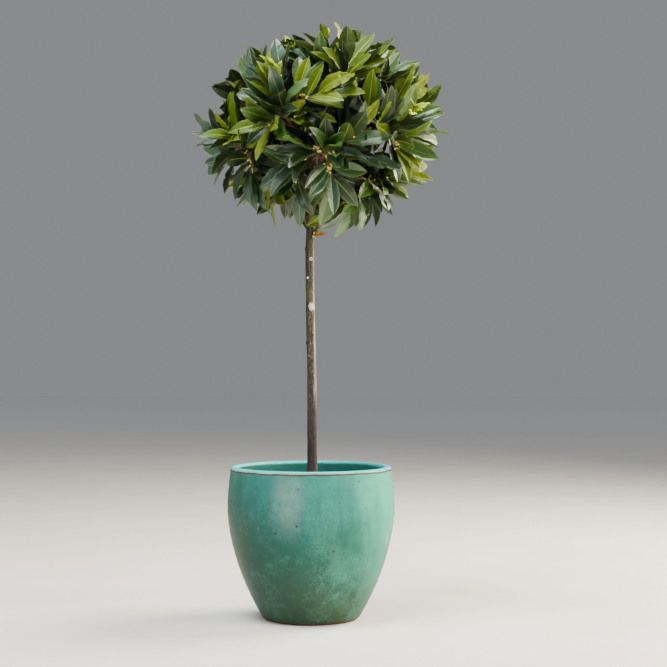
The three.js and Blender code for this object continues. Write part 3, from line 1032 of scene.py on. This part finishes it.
# The rest of a leaf: the name and colour of each finish, its roughness, spread and gloss.
LEAF_PARTS = [
    ("leaf_midrib_pale", (122, 142, 72), 0.42, 0.08, 0.5),
    ("leaf_midrib_gold", (166, 176, 40), 0.42, 0.08, 0.5),
    ("leaf_margin", (106, 124, 46), 0.48, 0.08, 0.3),
    ("leaf_underside_dark", (38, 50, 21), 0.5, 0.1, 0.5),
    ("leaf_underside_mid", (62, 76, 25), 0.5, 0.1, 0.5),
    ("leaf_underside_bright", (118, 132, 36), 0.5, 0.1, 0.5),
]
BUD_PARTS = [
    ("bud_cream", (236, 228, 122), 0.5, 0.1, 0.5),
    ("bud_stalk", (168, 122, 62), 0.5, 0.12, 0.5),
]
RIB_FINISH = len(LEAF_GREENS)
MARGIN_FINISH = RIB_FINISH + 2
UNDERSIDE_FINISH = RIB_FINISH + 3

ROWS = (0.0, 0.03, 0.065, 0.1, 0.15, 0.22, 0.31, 0.41, 0.52, 0.62, 0.72, 0.81, 0.89, 0.95, 1.0)
STALK_SHARE = 0.065
STALK_HALF_WIDTH = 1.0
TIP_HALF_WIDTH = 0.35
MIDDLE_COLUMN = 0.55
MARGIN_WIDTH = 0.65
RIB_HALF_WIDTHS = (1.1, 0.25)
RIB_GROOVE = 0.35
UNDERSIDE_DROPS = (0.3, 0.6, 1.4, 1.4, 0.6, 0.3)
EDGE_GIVE = 2


def blade_rings(leaf, draws):
    """The rings of points round a leaf, from its stalk to its tip."""
    length = leaf.length
    half_width = 0.475 * leaf.width * between(0.88, 1.08, draws())
    fold = leaf.fold * length
    bulge = between(0.5, 2.6, draws())
    waves = between(2.6, 4.4, draws())
    wave_height = between(0.8, 3.8, draws())
    wave_starts = (math.tau * draws(), math.tau * draws())
    twist = math.radians(between(-24, 24, draws()))
    bend = between(-0.08, 0.08, draws())
    curl = between(-0.05, 0.12, draws())
    point = between(0.98, 1.16, draws())

    def lift_at(y, half, share):
        """How far the fold, the bulge and the waves lift the blade beside its midrib."""
        out = abs(y) / half
        full = half / half_width
        wave = math.sin(math.tau * waves * share + wave_starts[0 if y > 0 else 1])
        lift = fold * full * out + bulge * full * 4 * out * (1 - out)
        return lift + wave_height * full * out**2 * wave

    rings = []
    for share in ROWS:
        blade = max(0.0, (share - STALK_SHARE) / (1 - STALK_SHARE))
        half = half_width * math.sin(math.pi * blade**point) ** 0.74 if 0 < blade < 1 else 0
        half = max(half, STALK_HALF_WIDTH if share < 0.5 else TIP_HALF_WIDTH)
        rib = min(0.7 * half, between(*RIB_HALF_WIDTHS, share))
        middle = MIDDLE_COLUMN * half
        margin = max(half - MARGIN_WIDTH, 0.86 * half)
        columns = (half, margin, middle, rib, -rib, -middle, -margin, -half)
        drops = [RIB_GROOVE if abs(y) <= rib else 0 for y in columns]
        drops += [min(drop, 0.8 * half) for drop in UNDERSIDE_DROPS]
        section = zip((*columns, *columns[-2:0:-1]), drops)
        angle = twist * share
        rise = leaf.rise(share) - TIP_DROP * leaf.arch * length * share**2
        rise -= curl * length * max(0.0, share - 0.55) ** 2
        ring = []
        for y, drop in section:
            lift = lift_at(y, half, share) - drop
            level = y * math.cos(angle) - lift * math.sin(angle) + bend * length * share**2
            ring.append((share * length, level, y * math.sin(angle) + lift * math.cos(angle) + rise))
        rings.append(ring)
    return rings


def add_blade(shape, leaf, draws):
    """One leaf's blade. A leaf in the painted shade green has no pale midrib or margin."""
    tone = leaf.tone
    rib = RIB_FINISH + (tone in WARM)
    margin = MARGIN_FINISH
    if tone == PAINTED_SHADE:
        rib = margin = DEEP
    under = UNDERSIDE_FINISH + LEAF_GREENS[tone][2]
    strips = [margin, tone, tone, rib, tone, tone, margin, under, under, under, rib, under, under, under]
    rings = leaf.place(np.array(blade_rings(leaf, draws)))
    shape.add_rings(np.clip(rings, BOX_LOW - EDGE_GIVE, BOX_HIGH + EDGE_GIVE), strips)


# Growing the head

taken = Taken(limb_points, limb_radii + LEAF_LIMB_DISTANCE)
sprays_by_mass = [grow_mass(k, taken) for k in range(MASSES)]
tips = [spray.tip for mass in sprays_by_mass for spray in mass]
for k, mass in enumerate(sprays_by_mass):
    mass += grow_twigs(k, mass, tips, taken)
sprays = [spray for mass in sprays_by_mass for spray in mass]

# The least warmth for each green, a second green, and how often a leaf takes the first.
GREENS_BY_WARMTH = [
    (0.66, YELLOW, YELLOW, 1),
    (0.34, OLIVE, OLIVE, 1),
    (0.12, MID, GREY, 0.6),
    (-0.25, BLUE, MID, 0.6),
    (-math.inf, DEEP, BLUE, 0.5),
]
# How far in a leaf's root gets deep green, and its tip the darkest green, as painted shade.
DEEP_AS_SHADE_WITHIN = 0.55
PAINTED_SHADE_WITHIN = 0.7
LEAF_FOLDS = (0.025, 0.075)


def green_for(warmth, choice):
    for least, usual, other, share in GREENS_BY_WARMTH:
        if warmth > least:
            return usual if choice < share else other


def deal_tones():
    """Colours go out by spray, a tone that differs at random: yellower to the right and the top as
    painted sunlight, brighter to the tips, and bluer and darker low down and deep inside as painted
    shade.
    """
    draws = Draws(HEAD_SEED + TONE_SEED)
    for spray in sprays:
        place = (spray.tip - HEAD_CENTRE) / HEAD_RADII
        # Painted sunlight to the right and the top, painted shade low down, and a tone dealt at random to
        # each spray.
        painted_light_and_tone = 0.5 * place[0] + 0.16 * place[2] + 0.06 + 0.7 * (draws() - 0.5)
        painted_light_and_tone -= 0.3 * max(0, -place[2])
        for leaf in spray.leaves:
            warmth = painted_light_and_tone + 0.9 * (draws() - 0.5) + 0.3 * (leaf.share - 0.5)
            leaf.tone = green_for(warmth, draws())
            # Painted shade inside the head.
            if share_of_outline(leaf.root) < DEEP_AS_SHADE_WITHIN:
                leaf.tone = DEEP
            if share_of_outline(leaf.place((leaf.length, 0, 0))) < PAINTED_SHADE_WITHIN:
                leaf.tone = PAINTED_SHADE
            leaf.fold = between(*LEAF_FOLDS, draws())


# Young tufts, paler shoots and one round bud in front: how far each is to the right, and its height.
YOUNG_TIPS = [(127, 1279), (185, 1421), (250, 1236), (-135, 1409), (-78, 1403)]
PALE_TIPS = [(-175, 1165), (-225, 1240), (90, 1365), (-12, 1265)]
PALE_TIPS += [(66, 1245), (197, 1285), (255, 1265), (-96, 1000)]
ROUND_BUD = (-83, 1379)
NEAR_TIP = 0.98
FRONT_FACING = -0.25
PALE_SHARE = 0.7
YELLOW_SHARE = 0.45


def in_front(x, z):
    """The shoot that faces the front nearest to a place in the view."""
    front = [spray for spray in sprays if spray.line.direction(NEAR_TIP)[1] < FRONT_FACING]
    return min(front, key=lambda spray: math.hypot(spray.tip[0] - x, spray.tip[2] - z))


def pale_shoots():
    draws = Draws(HEAD_SEED + PALE_SEED)
    for x, z in PALE_TIPS:
        for leaf in in_front(x, z).leaves:
            if draws() < PALE_SHARE:
                leaf.tone = YELLOW if draws() < YELLOW_SHARE else OLIVE


YOUNG_LENGTH = 44
YOUNG_SHORTEST = 8
YOUNG_SHORTENING = 4
YOUNG_TUFT = 40
YOUNG_LEAN = np.array([0.0, -1.3, 0.5])
YOUNG_LEAVES = 6
YOUNG_TILTS = (40, 10)
YOUNG_LEAF_LENGTHS = (58, 34)
YOUNG_SHARE = 0.12
OLD_LEAF_AT = 0.08
OLD_LEAF_ALONG = unit(np.array([0.85, -0.55, 0.2]))
OLD_LEAF_FACING = np.array([-0.2, -0.8, 0.6])


def grow_young(spray, lean, draws):
    """A soft new shoot from the tip of a shoot, with a tuft of small leaves."""
    tangent = unit(spray.line.direction(NEAR_TIP) + lean)
    reach = YOUNG_LENGTH
    while reach > YOUNG_SHORTEST and share_of_outline(spray.tip + tangent * (reach + YOUNG_TUFT)) > 1:
        reach -= YOUNG_SHORTENING
    end = spray.tip + tangent * reach
    spray.young = [spray.tip - tangent * 2, (spray.tip + end) / 2, end]
    side = unit(np.cross(UP, tangent))
    start = math.tau * draws()
    for i in range(YOUNG_LEAVES):
        share = i / (YOUNG_LEAVES - 1)
        root = end - tangent * (1 + 1.5 * (YOUNG_LEAVES - 1 - i))
        away = turned_about(side, tangent, start + i * GOLDEN_ANGLE)
        along = leaning(tangent, away, math.radians(between(*YOUNG_TILTS, share) + 8 * (draws() - 0.5)))
        length = between(*YOUNG_LEAF_LENGTHS, share) * between(0.85, 1.15, draws())
        leaf = Leaf(root, along, tangent + 0.4 * UP, length, LEAF_WIDTH_SHARE * length, 0.08)
        leaf.tone = LIME
        if stays_in(spray.mass, leaf):
            spray.leaves.append(leaf)


def young_growth():
    """The tufts in front, and a few more all round the upper head."""
    draws = Draws(HEAD_SEED + YOUNG_SEED)
    for x, z in YOUNG_TIPS:
        grow_young(in_front(x, z), YOUNG_LEAN, draws)
    chances = Draws(HEAD_SEED + GROWTH_SEED)
    for spray in sprays:
        if not spray.young and spray.tip[2] > HEAD_CENTRE[2] and chances() < YOUNG_SHARE:
            grow_young(spray, 0.3 * UP, draws)


def old_leaf():
    """One old leaf hangs on low down, by the first fork."""
    leaf = Leaf(bough_lines[0].at(OLD_LEAF_AT), OLD_LEAF_ALONG, OLD_LEAF_FACING, 38, 15, 0.06)
    leaf.tone = GOLD
    return leaf


deal_tones()
pale_shoots()
young_growth()
sprays_by_mass[0][0].leaves.append(old_leaf())

leaf_finishes = [
    leaf_finish("leaf_" + name, colour, *(SOFT_SKIN if tone in (*WARM, PAINTED_SHADE) else GLOSSY_SKIN))
    for tone, (name, colour, _) in enumerate(LEAF_GREENS)
]
leaf_finishes += [leaf_finish(*part) for part in LEAF_PARTS]

leaf_nodes = [f"leaves_{k + 1:02d}" for k in range(MASSES)]
for k, mass in enumerate(sprays_by_mass):
    foliage = Shape()
    blade_draws = Draws(HEAD_SEED + BLADE_SEED + k)
    for spray in mass:
        for leaf in spray.leaves:
            add_blade(foliage, leaf, blade_draws)
    foliage.piece(f"foliage_{k + 1:02d}", leaf_finishes, [leaf_nodes[k]], "foliage", 55)


# Shoots and twigs

TWIG_SIDES = 7
TWIG_STEP = 9
TWIG_SLIMNESS = 0.86
WOODY_SHARE = 0.6
YOUNG_RADII = (1.5, 1.2, 0.8)


def shoots_shape():
    """Every shoot, brown at first and green to its tip, and the young shoots on from them."""
    shape = Shape()
    for spray in sprays:
        length = np.linalg.norm(np.diff(spray.limb.path, axis=0), axis=1).sum()
        shares = np.linspace(0, 1, max(6, round(length / TWIG_STEP)) + 1)
        radii = np.interp(shares, np.linspace(0, 1, len(spray.limb.radii)), spray.limb.radii)
        radii = radii * TWIG_SLIMNESS
        radii[-1] = 0.7
        rings = tube_rings([spray.line.at(share) for share in shares], radii, TWIG_SIDES)
        woody = max(2, round(WOODY_SHARE * len(rings)))
        shape.add_rings(rings[:woody], 0)
        shape.add_rings(rings[woody - 1 :], 1)
        if spray.young:
            shape.add_rings(tube_rings(spray.young, YOUNG_RADII, 6), 1)
    return shape


twig_finishes = [
    twig_finish("brown_twig", (84, 54, 36), (132, 92, 60)),
    twig_finish("green_twig", (112, 104, 44), (158, 132, 66)),
]
shoots_shape().piece("shoots", twig_finishes, leaf_nodes, "bark", 50)


# Flower buds on short stalks in the leaf axils

BUD_SIDES = 7
BUD_PROFILE = ((-0.96, 0.25), (-0.5, 0.86), (0.0, 1.0), (0.5, 0.84), (0.92, 0.34))
BUDS_ABOVE = 1040
BUDS_HIGH = 0.42
BUDS_LOW = 0.25
ROUND_BUD_RADIUS = 6.0
ROUND_BUD_STALK = 30


def add_bud(shape, centre, radius, axis):
    side = unit(np.cross(axis, [0.31, 0.87, 0.38]))
    across = np.cross(axis, side)
    turns = [math.tau * k / BUD_SIDES for k in range(BUD_SIDES)]
    outward = [side * math.cos(turn) + across * math.sin(turn) for turn in turns]
    rings = [
        [centre + axis * radius * height + out * radius * width for out in outward]
        for height, width in BUD_PROFILE
    ]
    shape.add_rings(rings, 0)


def add_bud_cluster(shape, leaf, draws):
    for _ in range(2 + int(4 * draws())):
        lean = leaf.along * between(0.3, 1.0, draws()) + leaf.axes[2] * between(0.4, 1.2, draws())
        lean = unit(lean + leaf.axes[1] * between(-0.9, 0.9, draws()))
        start = leaf.root + leaf.along * between(1.0, 4.0, draws())
        end = start + lean * between(5.0, 11.0, draws())
        shape.add_rings(tube_rings([start, (start + end) / 2, end], [0.8, 0.6, 0.6], 4), 1)
        add_bud(shape, end + lean * 1.6, between(2.1, 2.8, draws()), lean)


def add_round_bud(shape):
    """One larger bud on its own stalk, high in front."""
    spray = in_front(*ROUND_BUD)
    axis = unit(spray.line.direction(1.0) + YOUNG_LEAN)
    end = spray.tip + axis * ROUND_BUD_STALK
    shape.add_rings(tube_rings([spray.tip, end], [1.2, 1.0], 6), 1)
    add_bud(shape, end + axis * 5, ROUND_BUD_RADIUS, axis)


def buds_shape():
    shape = Shape()
    draws = Draws(HEAD_SEED + BUD_SEED)
    for spray in sprays:
        wanted = BUDS_HIGH if spray.tip[2] > BUDS_ABOVE else BUDS_LOW
        for leaf in spray.leaves:
            if draws() < wanted:
                add_bud_cluster(shape, leaf, draws)
    add_round_bud(shape)
    return shape


bud_finishes = [leaf_finish(*part) for part in BUD_PARTS]
buds_shape().piece("buds", bud_finishes, leaf_nodes, "foliage", 60)


# The stem

STEM_SIDES = 48
STEM_STEP = 3
KNOB_ARC_RADIUS = 11
RIDGE_SHIFT = 37.0
# Each knob: its height, its turn in degrees, 0 to the right and 90 to the back, its size and its stand.
KNOBS = [
    (920, 184, 5, 1.6),
    (894, 268, 4, 0.9),
    (775, 276, 9, 1.3),
    (704, 300, 4, 1.5),
    (685, 200, 4.5, 2.6),
    (640, 288, 6, 1.2),
    (868, 95, 5, 1.4),
    (742, 40, 5, 1.5),
    (590, 120, 6, 1.3),
    (548, 235, 5, 1.4),
    (470, 330, 6, 1.3),
    (820, 340, 4, 1.0),
]


def stem_relief(place, turn):
    """Ridges along the stem, a finer grain, slow swellings and the knobs."""
    height = place[2]
    total = roughness_at((place[0], place[1], height + RIDGE_SHIFT), (5, 5, 42), 0.55)
    total += roughness_at((place[0], place[1], height), (2.2, 2.2, 9), 0.16)
    total += roughness_at((0, 0, height), (1, 1, 55), 0.35)
    for knob_height, knob_turn, size, stand in KNOBS:
        rise = (height - knob_height) / size
        if abs(rise) > 3:
            continue
        away = math.remainder(turn - math.radians(knob_turn), math.tau) * KNOB_ARC_RADIUS / size
        total += stand * math.exp(-(rise * rise + away * away))
    return total


def stem_shape():
    heights = np.arange(stem_foot, stem_top, STEM_STEP)
    points = [stem_at(height) for height in heights]
    radii = [stem_radius(height) for height in heights]
    return Shape(tube_rings(points, radii, STEM_SIDES, stem_relief))


stem_shape().piece("stem", [bark_finish()], ["trunk"], "bark", 70)


# The boughs

BOUGH_SIDES = 14
BOUGH_STEPS = 34
BOUGH_SLIMNESS = 0.96
COLLAR = 2.4
COLLAR_REACH = 0.07
JOINT_GAP = 31


def bough_shape(k):
    """A bough with a collar at its fork and old leaf joints along it."""
    limb = bough_limbs[k]
    shares = np.linspace(0, 1, BOUGH_STEPS + 1)
    points = bough_lines[k].points(BOUGH_STEPS)
    radii = between(limb.radii[0], limb.radii[-1], shares) * BOUGH_SLIMNESS
    radii = radii + COLLAR * np.exp(-(shares / COLLAR_REACH) ** 2)

    def relief(place, turn):
        along = math.remainder(np.linalg.norm(place - points[0]) + 7 * k, JOINT_GAP)
        return roughness_at(place, (4, 4, 14), 0.3) + 0.45 * math.exp(-(along / 2.4) ** 2)

    return Shape(tube_rings(points, radii, BOUGH_SIDES, relief))


bough_bark = bough_finish()
for k in range(MASSES - 1):
    name = f"bough_{k + 1:02d}"
    bough_shape(k).piece(f"limb_{k + 1:02d}", [bough_bark], [name], "bark", 60)


# The planter

POT_SIDES = 168
WALL_RINGS = 76
UNDERSIDE_RADII = (0.01, 30, 52, 72, 92, FOOT_RADIUS - FOOT_CHAMFER)
FOOT_EDGE = [(FOOT_RADIUS - 2.2, 1.2), (FOOT_RADIUS - 0.6, 3.2)]
OUTSIDE_ROWS = range(len(UNDERSIDE_RADII), len(UNDERSIDE_RADII) + len(FOOT_EDGE) + WALL_RINGS)
LIP_RADIUS = 9.6
DRAINS = 3
DRAIN_SIDES = 24


def pot_radius(height):
    if height < BELLY_HEIGHT:
        below = 1 - height / BELLY_HEIGHT
        return BELLY_RADIUS - (BELLY_RADIUS - FOOT_RADIUS) * below**1.87
    above = (height - BELLY_HEIGHT) / (POT_HEIGHT - BELLY_HEIGHT)
    return BELLY_RADIUS - (BELLY_RADIUS - RIM_RADIUS) * above**1.6


def inner_wall(height):
    """The inside of the wall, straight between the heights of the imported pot's rings."""
    heights = [between(POT_FLOOR, COMPOST_EDGE, i / 4) for i in range(5)]
    return float(np.interp(height, heights, [pot_radius(z) - POT_WALL for z in heights]))


def pot_profile():
    """Pairs of radius and height from the middle of the underside round to the middle of the floor."""
    lip_foot = POT_HEIGHT - LIP_DEPTH
    edge = pot_radius(lip_foot)
    profile = [(radius, 0.0) for radius in UNDERSIDE_RADII]
    profile += FOOT_EDGE
    profile += [(pot_radius(z), z) for z in np.linspace(FOOT_CHAMFER, lip_foot, WALL_RINGS)]
    # The rounded lip leans in a little over the worn ring below it.
    for share in np.linspace(0.08, 1, 13):
        angle = math.pi * share
        out = edge - LIP_RADIUS + LIP_RADIUS * math.cos(angle)
        profile.append((out - 0.3, lip_foot + 2.5 + 9.3 * math.sin(angle) ** 0.85))
    profile += [(inner_wall(z), z) for z in np.linspace(lip_foot - 6, POT_FLOOR, 14)]
    profile += [(radius, float(POT_FLOOR)) for radius in (80, 40, 0.01)]
    return profile


def thrown(row, turn, radius, height):
    """The outside wavers a little, with the faint rings of a thrown pot."""
    if row not in OUTSIDE_ROWS:
        return radius, height
    at = Vector((math.cos(turn) * 2.0, math.sin(turn) * 2.0, height / 110))
    ring = math.sin(height / 4.1 + 0.8 * noise.noise(at * 0.7))
    fade = min(1.0, height / 20)
    return radius + fade * (0.9 * noise.noise(at) + 0.28 * ring), height


def bore_drains(planter):
    """The drainage holes through the floor."""
    drills = Shape()
    for i in range(DRAINS):
        turn = math.tau * (i + 0.5) / DRAINS
        x, y = DRAIN_CIRCLE * math.cos(turn), DRAIN_CIRCLE * math.sin(turn)
        drills.add_rings(tube_rings([(x, y, -10), (x, y, 40)], [DRAIN_RADIUS] * 2, DRAIN_SIDES))
    drill = drills.piece("drills", [], [], "")
    boring = planter.modifiers.new("boring", "BOOLEAN")
    boring.operation = "DIFFERENCE"
    boring.solver = "EXACT"
    boring.object = drill
    graph = bpy.context.evaluated_depsgraph_get()
    bored = bpy.data.meshes.new_from_object(planter.evaluated_get(graph))
    planter.modifiers.clear()
    planter.data = bored
    bpy.data.objects.remove(drill)


pot = Shape(turned_rings(pot_profile(), POT_SIDES, thrown))
planter = pot.piece("planter", [glaze_finish()], ["pot"], "glaze")
bore_drains(planter)
planter.data.set_sharp_from_angle(angle=math.radians(55))


# The compost

COMPOST_SIDES = 120
FLOOR_RADII = (0.01, 40, 80)
BOWL_RINGS = 12
SURFACE_RINGS = 54
FIRST_LUMPY_ROW = len(FLOOR_RADII) + BOWL_RINGS + 1
STEM_CLEARING = 17
CHIPS = 300
CHIP_SEED = 515
CHIP_PROFILE = ((-0.5, 0.35), (-0.2, 0.9), (0.18, 1.0), (0.5, 0.45))


def compost_level(radius):
    edge = inner_wall(COMPOST_EDGE) - CLEARANCE
    radii = [0, MOUND_RADIUS, 3.2 * MOUND_RADIUS, edge]
    slope = between(COMPOST_EDGE, COMPOST_MOUND, 0.35)
    return float(np.interp(radius, radii, [COMPOST_MOUND, COMPOST_MOUND, slope, COMPOST_EDGE]))


def compost_profile():
    """Pairs of radius and height from the middle of the floor up the wall and in to the stem."""
    edge = inner_wall(COMPOST_EDGE) - CLEARANCE
    low = POT_FLOOR + CLEARANCE
    profile = [(radius, low) for radius in FLOOR_RADII]
    heights = np.linspace(low, COMPOST_EDGE - 1.5, BOWL_RINGS)
    radii = np.linspace(edge - 1, 0.01, SURFACE_RINGS)
    profile += [(inner_wall(height) - CLEARANCE, height) for height in heights]
    profile += [(radius, compost_level(radius)) for radius in radii]
    return profile


def lumpy(row, turn, radius, height):
    """Crumbs and lumps on the surface, but not at the wall or under the stem's foot."""
    if row < FIRST_LUMPY_ROW or radius <= STEM_CLEARING:
        return radius, height
    place = (radius * math.cos(turn), radius * math.sin(turn), height)
    lift = roughness_at(place, (9, 9, 9), 1.7) + roughness_at(place, (31, 31, 31), 1.6)
    return radius, height + lift


def add_chips(shape):
    """Bark chips lying on the compost at all angles."""
    draws = Draws(CHIP_SEED)
    for _ in range(CHIPS):
        radius = between(26, inner_wall(COMPOST_EDGE) - 16, math.sqrt(draws()))
        turn = math.tau * draws()
        spin = math.pi * draws()
        lean = between(-0.25, 0.25, draws())
        along = np.array([math.cos(spin), math.sin(spin), lean])
        above = compost_level(radius) + 1.6
        middle = np.array([radius * math.cos(turn), radius * math.sin(turn), above])
        length = between(7, 20, draws())
        width = between(2.2, 5.0, draws())
        across = unit(np.cross(UP, along))
        rings = []
        for share, size in CHIP_PROFILE:
            centre = middle + along * length * share
            high = between(0.8, 1.5, draws())
            wide = width * size * between(0.85, 1.1, draws())
            corners = (across * wide, UP * high, -across * wide, UP * -1.2)
            rings.append([centre + corner for corner in corners])
        shape.add_rings(rings, 1)


soil = Shape(turned_rings(compost_profile(), COMPOST_SIDES, lumpy))
add_chips(soil)
soil.piece("soil", [compost_finish(), bark_chip_finish()], ["compost"], "compost", 40)


# The floor, the camera and the lights

FLOOR_RINGS = (20000, 9000, 4000, 1500, 500, 1)
FLOOR_SIDES = 96
FLOOR_DROP = 0.4
CAMERA_PLACE = (0.056, -3.75, 0.654)
CAMERA_TILT = math.radians(90.82)
LENS_LENGTH = 80.96
SENSOR_WIDTH = 36
# Each lamp: its place, the height it points at and its width in metres, its watts and its colour.
LAMPS = [
    ("rim", (2.6, 1.2, 2.5), 1.1, 2.2, 465, (1.0, 0.9, 0.74)),
    ("side", (3.1, -1.3, 1.6), 0.8, 1.8, 152, (1.0, 0.95, 0.85)),
    ("key", (1.2, -2.4, 3.2), 0.9, 1.5, 16, (1.0, 0.97, 0.9)),
    ("top", (-0.8, -0.9, 3.8), 1.1, 1.8, 250, (0.92, 0.96, 1.0)),
    ("fill", (-2.7, -2.0, 2.4), 1.1, 2.4, 70, (0.88, 0.94, 1.0)),
]
SKY = (0.95, 0.97, 1.0, 1.0)
SKY_STRENGTH = 0.27


def pale_floor():
    """A plain pale floor that fades to white far off."""
    shape = Shape()
    profile = [(radius, -FLOOR_DROP) for radius in FLOOR_RINGS]
    shape.add_rings(turned_rings(profile, FLOOR_SIDES), ends=False)
    paving = Finish("pale_floor", Specular_IOR_Level=0.3, Roughness=0.7)
    x, y, _ = paving.axes()
    paving.tones(paving.speckle(3.0, 4.0, 0.6), (0.2, 212, 206, 196), (0.8, 226, 221, 212))
    paving.paint(paving.step((x * x + y * y) ** 0.5, 2.0, 14.0), 250, 250, 252)
    paving.feed(Base_Color=paving.colour)
    floor = shape.piece("floor", [paving.material], [], "")


def add_lamp(name, place, target_height, size, power, colour):
    lamp = bpy.data.lights.new(name, "AREA")
    lamp.shape = "DISK"
    lamp.size = size
    lamp.energy = power
    lamp.color = colour
    light = add_object(name, lamp)
    light.location = place
    towards = Vector((0.0, 0.0, target_height)) - Vector(place)
    light.rotation_euler = towards.to_track_quat("-Z", "Y").to_euler()


def add_camera():
    lens = bpy.data.cameras.new("view")
    lens.lens = LENS_LENGTH
    lens.sensor_width = SENSOR_WIDTH
    camera = add_object("view", lens)
    camera.location = CAMERA_PLACE
    camera.rotation_euler = (CAMERA_TILT, 0, 0)
    bpy.context.scene.camera = camera


def light_world():
    world = bpy.data.worlds.new("studio")
    bpy.context.scene.world = world
    world.use_nodes = True
    background = world.node_tree.nodes["Background"]
    background.inputs["Color"].default_value = SKY
    background.inputs["Strength"].default_value = SKY_STRENGTH


pale_floor()
add_camera()
for lamp in LAMPS:
    add_lamp(*lamp)
light_world()
